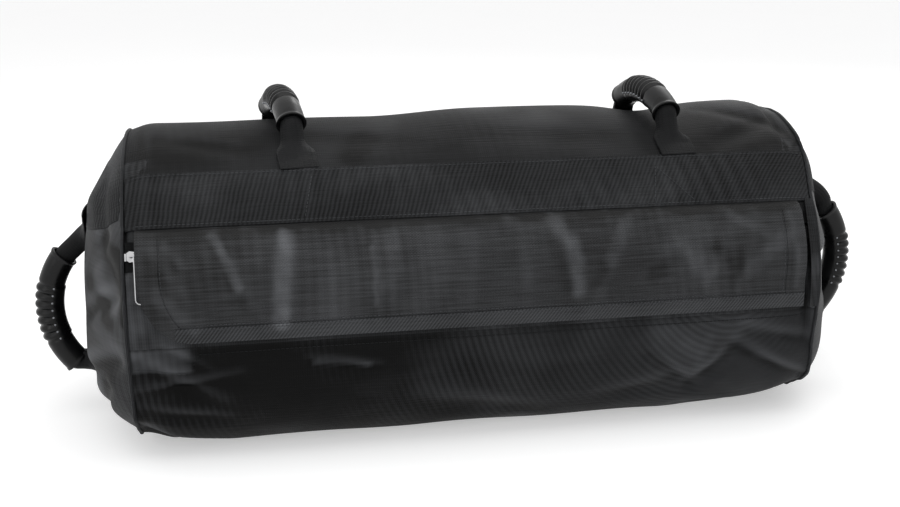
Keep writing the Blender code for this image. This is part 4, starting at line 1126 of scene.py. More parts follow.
def on_end_cloth(side, y, z, offset=0.0):
    """A point at an offset outside the finished cloth of an end."""
    hit, _, _, _ = bag_tree.ray_cast(Vector((side * CAST_FROM * 2, y, z)), Vector((-side, 0.0, 0.0)))
    return hit + Vector((side * offset, 0.0, 0.0))


print("cloth at the top:", on_bag(0.0, math.pi / 2))

# %% [markdown]
# ## Webbing bands
#
# A band of twill webbing, 60 mm wide, runs along the bag below the handles, and across each end. Each one is
# a grid of faces, cut to its real length and width, that is then laid on the finished cloth and given its
# thickness. It keeps a map in metres, so its twill runs true along it.

# %% Cutting and laying webbing
def cut_cloth(name, length, width, across, down):
    """A flat grid, in metres, centred on the origin, with its cloth map."""
    piece = add_shape(
        bpy.ops.mesh.primitive_grid_add, name, x_subdivisions=across, y_subdivisions=down, size=1.0)
    piece.scale = (length, width, 1.0)
    bpy.ops.object.transform_apply(location=True, rotation=True, scale=True)
    set_cloth_map(piece, coordinates_of(piece)[:, :2])
    return piece


def lay(piece, place):
    """Moves each point of a flat piece to the place that a rule gives for its u and v."""
    flat = coordinates_of(piece)
    set_coordinates(piece, [place(u, v) for u, v, _ in flat])


def thicken(piece, thickness, offset=1.0, subdivide=True):
    apply_modifier(piece, "SOLIDIFY", thickness=thickness, offset=offset, use_even_offset=False)
    if subdivide:
        apply_modifier(piece, "SUBSURF", levels=1, render_levels=1)
    smooth_shade(piece, 50.0)


BAND_WIDTH = 0.060
BAND_TOP = 0.161
BAND_MIDDLE = BAND_TOP - BAND_WIDTH / 2
BAND_LENGTH = 0.672
BAND_STANDOFF = 0.0006
BAND_THICKNESS = 0.0014


def band_place(rear):
    def place(u, v):
        arc = BAND_MIDDLE + v
        angle = arc / BAG_RADIUS
        wave = 0.0004 * noise.noise(Vector((u * 16.0, v * 20.0, 4.0 + rear)))
        if rear:
            angle = math.pi - angle
        return on_bag(u, angle, BAND_STANDOFF + wave)
    return place


for name, rear in (("band_front", 0), ("band_rear", 1)):
    piece = cut_cloth(f"{name}_webbing", BAND_LENGTH, BAND_WIDTH, 168, 14)
    lay(piece, band_place(rear))
    thicken(piece, BAND_THICKNESS, offset=-1.0 if rear else 1.0, subdivide=False)
    finish_piece(piece, band_cloth, "shell", "twill_webbing", (name,))

# %% Bands across the ends
END_BAND_LENGTH = 0.26
END_BAND_LOW = 0.2072
END_BAND_RISE = 0.0336
END_BAND_REACH = 0.985

for word, side in (("left", -1), ("right", 1)):
    piece = cut_cloth(f"end_band_{word}_webbing", END_BAND_LENGTH, BAND_WIDTH, 66, 14)

    def place(u, v):
        across = u / (END_BAND_LENGTH / 2)
        row = v / BAND_WIDTH + 0.5
        low = END_BAND_LOW + BAND_WIDTH * row - CENTRE_HEIGHT
        height = low + END_BAND_RISE * across * across * (1.0 - row / 2.0)
        half_chord = math.sqrt(BAG_RADIUS**2 - height**2) * END_BAND_REACH
        return on_end_cloth(side, half_chord * across, CENTRE_HEIGHT + height, BAND_STANDOFF)

    lay(piece, place)
    thicken(piece, BAND_THICKNESS, offset=-side, subdivide=False)
    finish_piece(piece, band_cloth, "shell", "twill_webbing", (f"end_band_{word}",))

# %% [markdown]
# ## Piping round the ends
#
# The end seams are covered by a thin corded piping. A circle takes the seam's shape and is made a curve with
# a round bevel, which is the quick way to a tube along any path.

# %% Piping
PIPING_RADIUS = 0.0017
for word, ring in seam_rings.items():
    piece = add_shape(
        bpy.ops.mesh.primitive_circle_add, f"piping_{word}_cord", vertices=len(ring), radius=1.0)
    set_coordinates(piece, [
        point + straight_out(math.atan2(point.z - CENTRE_HEIGHT, -point.y)) * PIPING_RADIUS * 0.5
        for point in ring])
    bpy.ops.object.convert(target="CURVE")
    piece.data.bevel_depth = PIPING_RADIUS
    piece.data.bevel_resolution = 2
    bpy.ops.object.convert(target="MESH")
    piece = bpy.context.object
    points = coordinates_of(piece)
    points[:, 2] = np.maximum(points[:, 2], 0.0)
    set_coordinates(piece, points)
    smooth_shade(piece, 80.0)
    finish_piece(piece, piping_cloth, "shell", "twill_webbing", (f"piping_{word}",))

# %% [markdown]
# ## The flap
#
# A flap of coated nylon hangs from the band's lower edge and hides the zip. It stands off the cloth over the
# zip and lies close again at its hook strip. It is gathered a little where it is sewn in, which gives it
# small scallops at the top and long soft folds below them.

# %% The flap's shape
FLAP_TOP = 0.09995
FLAP_LOW = -0.0056
FLAP_LEFT = -0.3275
FLAP_RIGHT = 0.3213
FLAP_THICKNESS = 0.0013
FLAP_ROOT_STANDOFF = 0.0005
FLAP_STRIP_STANDOFF = 0.0033
FLAP_BULGE = 0.0066
FLAP_STRIP_TOP = 0.024
FLAP_DROP = FLAP_TOP - FLAP_LOW
CORNER_WIDTH = 0.045
CORNER_HEIGHT = 0.0636

# x where the fold starts at the top, x where it ends below, half width, height
FLAP_FOLDS = (
    (-0.191, -0.199, 0.008, 0.0024),
    (-0.262, -0.212, 0.007, 0.0022),
    (-0.330, -0.262, 0.008, 0.0020),
    (-0.112, -0.111, 0.005, 0.0016),
    (-0.092, -0.098, 0.005, 0.0012),
    (-0.020, -0.024, 0.008, 0.0012),
    (0.034, 0.030, 0.008, 0.0012),
    (0.058, 0.092, 0.008, 0.0026),
    (0.146, 0.090, 0.008, 0.0022),
    (0.160, 0.230, 0.009, 0.0020),
    (0.250, 0.200, 0.008, 0.0020),
    (0.270, 0.242, 0.007, 0.0018),
    (0.306, 0.312, 0.005, 0.0016),
)


# Streaks of painted sheen on the flap, and painted shade where below 0: x and share of the drop at one end, x
# and share at the other, half width, painted light
FLAP_PAINTED_STREAKS = (
    (-0.192, 0.12, -0.199, 0.84, 0.0085, 2.2),
    (-0.2585, 0.10, -0.236, 0.54, 0.0042, 1.5),
    (-0.310, 0.58, -0.278, 0.86, 0.0070, 0.8),
    (-0.300, 0.16, -0.284, 0.34, 0.0045, 0.5),
    (-0.112, 0.26, -0.111, 0.74, 0.0025, 0.9),
    (-0.092, 0.16, -0.098, 0.66, 0.0070, 0.5),
    (-0.150, 0.30, -0.153, 0.80, 0.0060, 0.3),
    (-0.020, 0.14, -0.024, 0.74, 0.0090, 0.35),
    (0.030, 0.20, 0.034, 0.60, 0.0060, 0.3),
    (0.060, 0.02, 0.078, 0.28, 0.0075, 1.1),
    (0.081, 0.28, 0.087, 0.72, 0.0075, 1.3),
    (0.140, 0.10, 0.116, 0.48, 0.0065, 0.7),
    (0.184, 0.40, 0.212, 0.62, 0.0150, 0.6),
    (0.246, 0.14, 0.284, 0.30, 0.0055, 0.6),
    (0.298, 0.36, 0.262, 0.62, 0.0080, 0.7),
    (0.306, 0.12, 0.311, 0.80, 0.0030, 0.5),
    (0.162, 0.62, 0.186, 0.50, 0.0080, -0.5),
    (0.226, 0.42, 0.250, 0.56, 0.0080, -0.5),
    (-0.330, 0.50, -0.296, 0.50, 0.0300, -0.35),
    (-0.290, 0.20, -0.230, 0.30, 0.0250, -0.25),
)


def flap_standoff(arc):
    """How far the flap's inner face stands off the cloth, as in the CAD frame."""
    share = min(max((FLAP_TOP - arc) / (FLAP_TOP - FLAP_STRIP_TOP), 0.0), 1.0)
    level = FLAP_ROOT_STANDOFF + (FLAP_STRIP_STANDOFF - FLAP_ROOT_STANDOFF) * share
    return level + FLAP_BULGE * max(math.sin(math.pi * share), 0.0) ** 0.7


def flap_left_edge(arc):
    drop = min(max((FLAP_LOW + CORNER_HEIGHT - arc) / CORNER_HEIGHT, 0.0), 1.0)
    return FLAP_LEFT + CORNER_WIDTH * (1.0 - math.sqrt(1.0 - drop * drop))


def flap_wrinkle(x, arc):
    """Gathers at the top and long soft folds, always outward so that the zip keeps its room."""
    down = (FLAP_TOP - arc) / FLAP_DROP
    gathers = 0.5 + 0.5 * noise.noise(Vector((x * 48.0, 2.0 * down, 1.5)))
    height = 0.0034 * gathers * math.exp(-((down - 0.08) / 0.09) ** 2) * float(ease(down / 0.04))
    for top_x, low_x, half_width, fold_height in FLAP_FOLDS:
        across = (x - top_x - (low_x - top_x) * down) / half_width
        height += fold_height * math.exp(-across * across) * math.sin(math.pi * min(max(down, 0.0), 0.96))
    swell = 0.5 + 0.5 * noise.noise(Vector((x * 14.0, arc * 30.0, 7.0)))
    return height + 0.0012 * swell * math.sin(math.pi * down)


def flap_painted_light(x, arc):
    """Painted light on the folds' ridges and in long streaks, and painted shade between the gathers under the
    band.
    """
    down = (FLAP_TOP - arc) / FLAP_DROP
    step = 0.0015
    light = (flap_wrinkle(x - step, arc) - flap_wrinkle(x + step, arc)) / (2.0 * step) * 0.9
    hollow = 0.5 - 0.5 * noise.noise(Vector((x * 48.0, 2.0 * down, 1.5)))
    light -= 1.7 * hollow * math.exp(-((down - 0.03) / 0.075) ** 2)
    wander = 0.0022 * noise.noise(Vector((x * 30.0, arc * 70.0, 4.0)))
    patch = 0.7 + 0.5 * noise.noise(Vector((x * 80.0, arc * 60.0, 2.0)))
    for x_start, down_start, x_end, down_end, half_width, streak in FLAP_PAINTED_STREAKS:
        start = Vector((x_start, -down_start * FLAP_DROP))
        line = Vector((x_end, -down_end * FLAP_DROP)) - start
        away = Vector((x + wander, -down * FLAP_DROP)) - start
        along = min(max(away.dot(line) / line.length_squared, 0.0), 1.0)
        beyond = (away - line * along).length / half_width
        light += streak * math.exp(-beyond**3) * patch
    return light


def flap_place(x, arc, level):
    """A point of the flap, at a level over its inner face."""
    return ideal_point(x, arc, flap_standoff(arc) + level + flap_wrinkle(x, arc))


def flap_sheet(name, columns, rows, low, high, left, right, level):
    """A sheet on the flap between two distances along the cloth, and two edges that may depend on them."""
    piece = cut_cloth(name, 1.0, 1.0, columns, rows)
    flat = coordinates_of(piece)
    cut, placed = [], []
    for u, v, _ in flat:
        arc = low + (high - low) * (v + 0.5)
        x_left, x_right = left(arc), right(arc)
        x = x_left + (x_right - x_left) * (u + 0.5)
        cut.append((x, arc))
        placed.append(flap_place(x, arc, level))
    set_cloth_map(piece, cut)
    set_coordinates(piece, placed)
    mark_painted_light(piece, [flap_painted_light(x, arc) for x, arc in cut])
    return piece


def flap_right_edge(arc):
    return FLAP_RIGHT


flap = flap_sheet("flap_cloth", 320, 52, FLAP_LOW, FLAP_TOP, flap_left_edge, flap_right_edge, 0.0)
thicken(flap, FLAP_THICKNESS, subdivide=False)
finish_piece(flap, flap_cloth, None, "coated_nylon", ("flap_panel",))
# Two places on the flap just under its sewn edge are worked out; nothing uses them.
flap_place(0.0, FLAP_TOP - 0.0010, 0.0)
flap_place(0.0, FLAP_TOP - 0.0090, 0.0)
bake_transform(flap)

# %% The hem and the side hems
HEM_HEIGHT = 0.014
HEM_LEFT = -0.296
HEM_THICKNESS = 0.0009
SIDE_HEM_WIDTH = 0.020
HEM_LEVEL = FLAP_THICKNESS + 0.0002

hem = flap_sheet("flap_hem_strip", 320, 6, FLAP_LOW - 0.0002, FLAP_LOW + HEM_HEIGHT,
                 lambda arc: max(flap_left_edge(arc), HEM_LEFT), flap_right_edge, HEM_LEVEL)
thicken(hem, HEM_THICKNESS, subdivide=False)
finish_piece(hem, hem_cloth, "flap", "coated_nylon", ("flap_hem",))
side_low = FLAP_LOW + HEM_HEIGHT + 0.0003
side_high = FLAP_TOP - 0.010
left_hem = flap_sheet("flap_edge_left_strip", 12, 44, side_low, side_high, flap_left_edge,
                      lambda arc: flap_left_edge(arc) + SIDE_HEM_WIDTH, HEM_LEVEL)
right_hem = flap_sheet("flap_edge_right_strip", 12, 44, side_low, side_high,
                       lambda arc: FLAP_RIGHT - SIDE_HEM_WIDTH, flap_right_edge, HEM_LEVEL)
for piece, node in ((left_hem, "flap_edge_left"), (right_hem, "flap_edge_right")):
    thicken(piece, HEM_THICKNESS * 0.6, subdivide=False)
    finish_piece(piece, flap_cloth, "flap", "coated_nylon", (node,))

# %% [markdown]
# ## The hook and loop strips
#
# The flap closes with hook tape on its inner face, over loop tape on the bag. Both are seen only with the
# flap open, so a strip with a rough pile is enough.

# %% Hook and loop
STRIP_THICKNESS = 0.0012
STRIP_HALF_LENGTH = 0.290
HOOK_LOW = 0.001
HOOK_HIGH = 0.021
HOOK_LEVEL = -0.0015
LOOP_WIDTH = 0.025
LOOP_MIDDLE = 0.0115
LOOP_STANDOFF = 0.0003
hooks = flap_sheet("hook_tape", 116, 5, HOOK_LOW, HOOK_HIGH, lambda arc: -STRIP_HALF_LENGTH,
                   lambda arc: STRIP_HALF_LENGTH, HOOK_LEVEL)
thicken(hooks, STRIP_THICKNESS, subdivide=False)
finish_piece(hooks, pile_cloth, "flap", "hook_and_loop", ("hook_strip",))
loops = cut_cloth("loop_tape", 2 * STRIP_HALF_LENGTH, LOOP_WIDTH, 116, 6)
lay(loops, lambda u, v: ideal_point(u, v + LOOP_MIDDLE, LOOP_STANDOFF))
thicken(loops, STRIP_THICKNESS, subdivide=False)
finish_piece(loops, pile_cloth, "shell", "hook_and_loop", ("loop_strip",))

# %% [markdown]
# ## The zip
#
# Two tapes carry a row of nylon coil each. One turn of the coil is modelled and repeated along the zip with
# an Array modifier. The slider, its wire pull and the two end stops are hard pieces whose CAD shape is right,
# so they stay and only get a plated finish. At the right, the zip runs out under a strip of the bag's own
# cloth.

# %% Zip tapes and coils
ZIP_ARC = 0.076
ZIP_ANGLE = ZIP_ARC / BAG_RADIUS
TAPE_LENGTH = 0.6734
TAPE_WIDTH = 0.0126
TAPE_THICKNESS = 0.0008
TAPE_DEPTH = 0.001
TAPE_AWAY = 0.0076  # from the zip's middle line to the middle of a tape, and below to a coil
COIL_AWAY = 0.0023
COIL_RADIUS = 0.0006
COIL_WIDTH = 0.0026
COIL_PITCH = 0.0015
zip_out = straight_out(ZIP_ANGLE)
zip_up = Vector((0.0, math.sin(ZIP_ANGLE), math.cos(ZIP_ANGLE)))
zip_middle = Vector((0.0, 0.0, CENTRE_HEIGHT)) + zip_out * (BAG_RADIUS - TAPE_DEPTH)


def on_zip(x, up, out):
    return Vector((x, 0.0, 0.0)) + zip_middle + zip_up * up + zip_out * out


chain_low, chain_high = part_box("zip_chain_upper")
for word, way in (("upper", 1), ("lower", -1)):
    tape = cut_cloth(f"zip_tape_{word}_weave", TAPE_LENGTH, TAPE_WIDTH, 168, 4)
    lay(tape, lambda u, v: on_zip(u, way * TAPE_AWAY + v, -TAPE_THICKNESS / 2))
    thicken(tape, TAPE_THICKNESS, subdivide=False)
    finish_piece(tape, tape_cloth, "shell", "black_nylon", (f"zip_tape_{word}",))
    coil = add_shape(bpy.ops.mesh.primitive_cylinder_add, f"zip_coil_{word}", vertices=8, radius=COIL_RADIUS,
                     depth=COIL_WIDTH, end_fill_type="NGON")
    apply_modifier(coil, "BEVEL", width=COIL_RADIUS / 2, segments=1)
    apply_modifier(coil, "ARRAY", count=int((chain_high.x - chain_low.x) / COIL_PITCH),
                   use_relative_offset=False, use_constant_offset=True,
                   constant_offset_displace=(COIL_PITCH, 0.0, 0.0))
    start_x = chain_low.x + 0.001
    set_coordinates(coil, [on_zip(start_x + x, way * COIL_AWAY + z * 0.85, y * 2.2)
                           for x, y, z in coordinates_of(coil)])
    smooth_shade(coil, 50.0)
    finish_piece(coil, coil_nylon, "shell", "zip_nylon", (f"zip_chain_{word}",))

# The strip over the zip's right end
COVER_LEFT = 0.3290
COVER_RIGHT = 0.3385
COVER_LOW = -0.008
COVER_HIGH = 0.102
COVER_MIDDLE = (COVER_LEFT + COVER_RIGHT) / 2
COVER_STANDOFF = 0.0010
COVER_FULLNESS = 0.0014
COVER_FLAT_ARC = 0.074
COVER_FLAT_WIDTH = 0.019


def cover_place(u, v):
    """The strip is full and rippled, but lies flat where the zip ends under it."""
    arc = (COVER_LOW + COVER_HIGH) / 2 + v
    away_from_zip = 1.0 - math.exp(-(((arc - COVER_FLAT_ARC) / COVER_FLAT_WIDTH) ** 2))
    ripple = 0.0010 * noise.noise(Vector((u * 90.0, arc * 45.0, 8.0)))
    inwards = float(ease((COVER_RIGHT - 0.003 - COVER_MIDDLE - u) / 0.006))
    fullness = (COVER_FULLNESS + ripple) * away_from_zip * inwards
    return ideal_point(COVER_MIDDLE + u, arc, COVER_STANDOFF + fullness)


cover = cut_cloth("zip_end_cover", COVER_RIGHT - COVER_LEFT, COVER_HIGH - COVER_LOW, 10, 60)
lay(cover, cover_place)
thicken(cover, 0.0010, subdivide=False)
finish_piece(cover, front_cloth, "shell", "black_nylon")

# %% Hard pieces of the zip
for node in ("zip_slider", "zip_pull", "zip_stop_left", "zip_stop_right"):
    for material_slot in frame["nodes"][node].material_slots:
        material_slot.material = nickel
print("plated: slider, pull and stops")

# %% [markdown]
# ## The grips
#
# Each grip is moulded rubber: a curved, hollow sleeve, smooth where the fingers close on it, with eight
# grooves over its outer side between two plain collars. A row of pips on each side marks the grooves'
# ends; their pale grey is a painted glint. One sleeve is modelled straight, from a ring that is extruded and
# cut into many rings, each of which takes the size and groove of its place. Copies of it are then bent to the
# curve of their own handle.

# %% One straight sleeve
GRIP_LENGTH = 0.1257
GRIP_SIZE = np.array([0.0150, 0.0145])
COLLAR_SIZE = np.array([0.0142, 0.0133])
GROOVE_COUNT = 8
GROOVE_PITCH = 0.0082
GROOVE_HALF_WIDTH = 0.0017
GROOVE_DEPTH = 0.0021
LAND_CROWN = 0.0005
GRIP_STEPS = 190
GRIP_SIDES = 40
SLEEVE_WALL = 0.0027
GROOVES_HALF = (GROOVE_COUNT - 1) * GROOVE_PITCH / 2


def sleeve_point(x, along, z):
    """A point of the sleeve: its ring is sized for its place, and the grooves fade out on the inner side."""
    distance = (along - 0.5) * GRIP_LENGTH
    ribbed = 1.0 - ease((abs(distance) - GROOVES_HALF - 0.0004) / 0.0016)
    size = COLLAR_SIZE + (GRIP_SIZE - COLLAR_SIZE) * ribbed
    size = size + 0.0009 * ease((abs(distance) - GRIP_LENGTH / 2 + 0.0035) / 0.002)
    nearest = round((distance + GROOVES_HALF) / GROOVE_PITCH)
    nearest = min(max(nearest, 0), GROOVE_COUNT - 1) * GROOVE_PITCH - GROOVES_HALF
    away = (distance - nearest) / GROOVE_HALF_WIDTH
    outer = float(ease((z + 0.42) / 0.30))
    groove = GROOVE_DEPTH * math.exp(-away * away) * outer
    crown = LAND_CROWN * math.cos(math.pi * (distance - nearest) / GROOVE_PITCH) ** 2 * outer * ribbed
    size = size - groove - crown
    return Vector((x * size[0], distance, z * size[1]))


sleeve = add_shape(bpy.ops.mesh.primitive_circle_add, "sleeve_pattern", vertices=GRIP_SIDES, radius=1.0,
                   rotation=(math.pi / 2, 0.0, 0.0))
bpy.ops.object.mode_set(mode="EDIT")
bpy.ops.mesh.select_all(action="SELECT")
bpy.ops.mesh.extrude_region_move(TRANSFORM_OT_translate={"value": (0.0, 1.0, 0.0)})
select_edges(lambda a, b: abs(a.y - b.y) > 0.5)
bpy.ops.mesh.subdivide(number_cuts=GRIP_STEPS - 1)
bpy.ops.object.mode_set(mode="OBJECT")
set_coordinates(sleeve, [sleeve_point(*point) for point in coordinates_of(sleeve)])
activate(sleeve)
bpy.ops.object.mode_set(mode="EDIT")
bpy.ops.mesh.select_all(action="SELECT")
bpy.ops.mesh.normals_make_consistent(inside=False)
bpy.ops.object.mode_set(mode="OBJECT")
apply_modifier(sleeve, "SOLIDIFY", thickness=SLEEVE_WALL, offset=-1.0, use_even_offset=False)
apply_modifier(sleeve, "BEVEL", width=0.0008, segments=2, limit_method="ANGLE", angle_limit=math.radians(60))
smooth_shade(sleeve, 75.0)
print("sleeve:", len(sleeve.data.polygons), "faces")

# %% One row of pips
PIP_RADIUS = 0.0011
PIP_SIDE = -0.30
pips = add_shape(
    bpy.ops.mesh.primitive_uv_sphere_add, "pips_pattern", segments=10, ring_count=6, radius=PIP_RADIUS)
pip = coordinates_of(pips)
apply_modifier(pips, "ARRAY", count=2 * GROOVE_COUNT, use_relative_offset=False, use_constant_offset=True,
               constant_offset_displace=(0.0, 0.0, 0.0))
rows = []
for number in range(GROOVE_COUNT):
    distance = number * GROOVE_PITCH - GROOVES_HALF
    for way in (-1, 1):
        across = way * math.sqrt(1.0 - PIP_SIDE**2) * GRIP_SIZE[0]
        rows.append(pip + np.array([across, distance, PIP_SIDE * GRIP_SIZE[1]]))
set_coordinates(pips, np.concatenate(rows))
smooth_shade(pips, 80.0)
print("pips:", 2 * GROOVE_COUNT)

# %% Copies, each bent to its handle
def handle_axes(foot, other_foot, outward):
    """Axes midway between a handle's feet: aside, towards the first foot, and outward."""
    up = (foot - other_foot).normalized()
    aside = up.cross(outward).normalized()
    turned = Matrix((aside, up, aside.cross(up))).transposed().to_4x4()
    return Matrix.Translation((foot + other_foot) / 2) @ turned


def bend(point, shape):
    """Bends a place on the straight sleeve (aside, along, out) to a handle's curve, in the handle's axes."""
    radius, rise, slip = shape
    turn = point[1] / radius
    reach = radius + point[2]
    return Vector((point[0], reach * math.sin(turn) - slip, rise + reach * math.cos(turn) - radius))


TOP_FOOT_HALF_SPAN = 0.075
END_FOOT_HALF_SPAN = 0.077
BENDS = {
    "top_handle_left": (0.120, 0.0325, 0.0),
    "top_handle_right": (0.120, 0.0325, 0.0),
    "end_handle_left": (0.090, 0.040, 0.008),
    "end_handle_right": (0.090, 0.055, -0.004),
}

# A handle swings about the line through its feet, so its axes come from its joint.
handles = {}
for joint in frame["joints"]:
    if joint["child"] in BENDS:
        middle, line = Vector(joint["pos_m"]), Vector(joint["axis"]).normalized()
        on_top = joint["child"].startswith("top")
        outward = Vector((0.0, 0.0, 1.0)) if on_top else Vector((math.copysign(1.0, middle.x), 0.0, 0.0))
        handles[joint["child"]] = (
            handle_axes(middle + line, middle - line, outward),
            TOP_FOOT_HALF_SPAN if on_top else END_FOOT_HALF_SPAN,
            BENDS[joint["child"]],
        )

for name, (axes, _, shape) in handles.items():
    for pattern, word, finish, nodes in (
        (sleeve, "rubber", grip_rubber, (f"{name}_grip",)),
        (pips, "pips", glint_painted_pip_rubber, ()),
    ):
        piece = copy_of(pattern, f"{name}_{word}")
        set_coordinates(piece, [axes @ bend(point, shape) for point in coordinates_of(piece)])
        finish_piece(piece, finish, name, "grip_rubber", nodes)
for pattern in (sleeve, pips):
    bpy.data.objects.remove(pattern)

# %% [markdown]
# ## The handles' webbing
#
# Each handle is one length of webbing. It lies flat where it is sewn to the bag, curls its two sides under as
# it rises, and runs through the grip as a round roll. It is one sheet that follows a path, with a curl angle
# for each station. At each foot the real webbing bends; the piece itself rides on no body.

# %% Folded webbing
WEBBING_THICKNESS = 0.0014
WEBBING_STATIONS = 150
WEBBING_COLUMNS = 20
# for top and end handles: width, full curl, height of the webbing's middle over the bore's, and the two
# heights between which it curls
TOP_WEBBING = (0.038, 1.76, 0.0088, -0.0100, 0.0060)
END_WEBBING = (0.056, 2.70, 0.0092, -0.0080, 0.0120)


def webbing_section(across, half, curl):
    """(aside, out) of a point across the webbing, -1 to 1, with its sides curled in by an angle."""
    if curl < 0.001:
        return across * half, 0.0
    radius = half / curl
    return radius * math.sin(across * curl), radius * (math.cos(across * curl) - 1.0)


def smooth_path(points, count):
    """Evenly spaced points on a smooth curve through a few given points."""
    deselect_all()
    data = bpy.data.curves.new("path", "CURVE")
    data.dimensions = "3D"
    spline = data.splines.new("BEZIER")
    spline.bezier_points.add(len(points) - 1)
    for knot, point in zip(spline.bezier_points, points):
        knot.co = point
        knot.handle_left_type = knot.handle_right_type = "AUTO"
    data.resolution_u = 24
    holder = bpy.data.objects.new("path", data)
    bpy.context.scene.collection.objects.link(holder)
    bpy.context.view_layer.update()
    line = np.array([vertex.co for vertex in holder.to_mesh().vertices])
    holder.to_mesh_clear()
    bpy.data.objects.remove(holder)
    steps = np.concatenate([[0.0], np.cumsum(np.linalg.norm(np.diff(line, axis=0), axis=1))])
    places = np.linspace(0.0, steps[-1], count)
    return np.stack([np.interp(places, steps, line[:, axis]) for axis in range(3)], -1), steps[-1]


def make_webbing(name, path, kind):
    """Webbing along a path in the handle's own axes. Its sides curl in between two heights above the feet."""
    axes = handles[name][0]
    width, most_curl, _, curl_from, curl_to = kind
    line, length = smooth_path(path, WEBBING_STATIONS + 1)
    piece = cut_cloth(f"{name}_webbing", length, width, WEBBING_STATIONS, WEBBING_COLUMNS)
    ahead = np.gradient(line, axis=0)
    ahead /= np.linalg.norm(ahead, axis=1, keepdims=True)
    aside = Vector((1.0, 0.0, 0.0))
    placed = []
    for u, v, _ in coordinates_of(piece):
        station = int(round((u / length + 0.5) * WEBBING_STATIONS))
        curl = most_curl * float(ease((line[station][2] - curl_from) / (curl_to - curl_from)))
        x, z = webbing_section(v / (width / 2), width / 2, curl)
        out = aside.cross(Vector(ahead[station])).normalized()
        placed.append(axes @ (Vector(line[station]) + aside * x + out * z))
    set_coordinates(piece, placed)
    thicken(piece, WEBBING_THICKNESS, offset=0.0)
    return finish_piece(piece, webbing_cloth, None, "twill_webbing")


def grip_line(shape, height, count=9):
    """Points along the grip's bore in the handle's axes, at a height over its middle."""
    return [bend((0.0, GRIP_LENGTH * (index / (count - 1) - 0.5), height), shape) for index in range(count)]


# Angles on the bag, or heights on an end, where each foot is sewn
TOP_FOOT_ANGLES = (54.6, 58.0, 61.0)
HIGH_FOOT_HEIGHTS = {-1: (0.2200, 0.2120, 0.2050), 1: (0.2420, 0.2350, 0.2290)}
# The right end's webbing is loose: it stands off the bag above its grip, along and out in the handle's axes.
LOOSE_PLACES = {1: ((0.0990, 0.0120), (0.0800, 0.0360))}
LOW_FOOT_HEIGHTS = (0.0215, 0.0300, 0.0375)
ON_CLOTH = 0.0025
ON_BAND = 0.0042
LEG_BEND = 0.4

for name, (axes, span, shape) in handles.items():
    inverse = axes.inverted()
    on_top = name.startswith("top")
    kind = TOP_WEBBING if on_top else END_WEBBING
    along_grip = grip_line(shape, kind[2])
    feet = []
    for way, mouth in ((-1, along_grip[0]), (1, along_grip[-1])):
        foot = axes @ Vector((0.0, way * span, 0.0))
        if on_top:
            turns = [turn if way < 0 else 180.0 - turn for turn in TOP_FOOT_ANGLES]
            sewn = [on_bag(foot.x, math.radians(turn), ON_CLOTH) for turn in turns]
        else:
            end = int(math.copysign(1, foot.x))
            heights = HIGH_FOOT_HEIGHTS[end] if way > 0 else LOW_FOOT_HEIGHTS
            sewn = [on_end_cloth(end, 0.0, height, ON_BAND if way > 0 else ON_CLOTH) for height in heights]
        knee = Vector((0.0, way * span, 0.0005 if on_top else 0.0025))
        sewn = [inverse @ place for place in sewn]
        leg = [knee, knee.lerp(mouth, LEG_BEND)]
        if not on_top and way > 0:
            leg = [Vector((0.0, along, out)) for along, out in LOOSE_PLACES.get(end, ())] or leg
        feet.append(sewn + leg)
    path = [Vector((0.0, point.y, point.z)) for point in feet[0] + along_grip + feet[1][::-1]]
    piece = make_webbing(name, path, kind)
    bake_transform(piece)
    ends = ("front", "rear") if on_top else ("high", "low")
    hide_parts(f"{name}_strap", f"{name}_anchor_{ends[0]}", f"{name}_anchor_{ends[1]}")

# %% [markdown]
# ## The filler bags
#
# Sand goes into tied inner bags. They are hidden while the zip is shut, but they are what makes the bag a
# sandbag, so one is modelled from a cylinder whose rings take the radius of a filled, tied sack, and it is
# copied twice.

# %% Filler bags and their ties
FILLER_RADIUS = 0.0635
FILLER_LENGTH = 0.600
TIE_RADIUS = 0.0462
TIE_WIDTH = 0.020
TIE_THICKNESS = 0.0018
TIE_PLACE = 0.266
FILLER_PLACES = {"front": (-0.06365, 0.0673), "rear": (0.06365, 0.0673), "top": (0.0, 0.17755)}
FILLER_OUTLINE = ((-0.300, 0.0), (-0.2985, 0.020), (-0.290, 0.042), (-0.270, 0.057), (-0.245, 0.0625),
                  (0.199, 0.0625), (0.225, 0.059), (0.243, 0.051), (0.254, 0.0446), (0.278, 0.0446),
                  (0.284, 0.050), (0.292, 0.052), (0.2985, 0.044), (0.300, 0.0))
pattern = add_shape(bpy.ops.mesh.primitive_cylinder_add, "filler_pattern", vertices=64, radius=1.0, depth=1.0,
                    end_fill_type="TRIFAN", rotation=ALONG_X)
bpy.ops.object.mode_set(mode="EDIT")
bpy.ops.mesh.select_mode(type="EDGE")
select_edges(lambda a, b: abs(a.x - b.x) > 0.5)
bpy.ops.mesh.subdivide(number_cuts=119)
bpy.ops.object.mode_set(mode="OBJECT")
outline = np.array(FILLER_OUTLINE)
points = []
for x, y, z in coordinates_of(pattern):
    place = x * FILLER_LENGTH
    radius = float(np.interp(place, outline[:, 0], outline[:, 1]))
    turn = math.atan2(z, y)
    gather = float(ease((place - 0.19) / 0.05)) * 0.07 * math.sin(turn * 15.0)
    slack = 0.0014 * noise.noise(Vector((place * 22.0, math.cos(turn) * 2.0, math.sin(turn) * 2.0)))
    size = math.hypot(y, z) * min(radius * (1.0 + gather) + slack, FILLER_RADIUS - 0.0002)
    points.append((place, size * math.cos(turn), size * math.sin(turn)))
set_coordinates(pattern, points)
smooth_shade(pattern, 60.0)
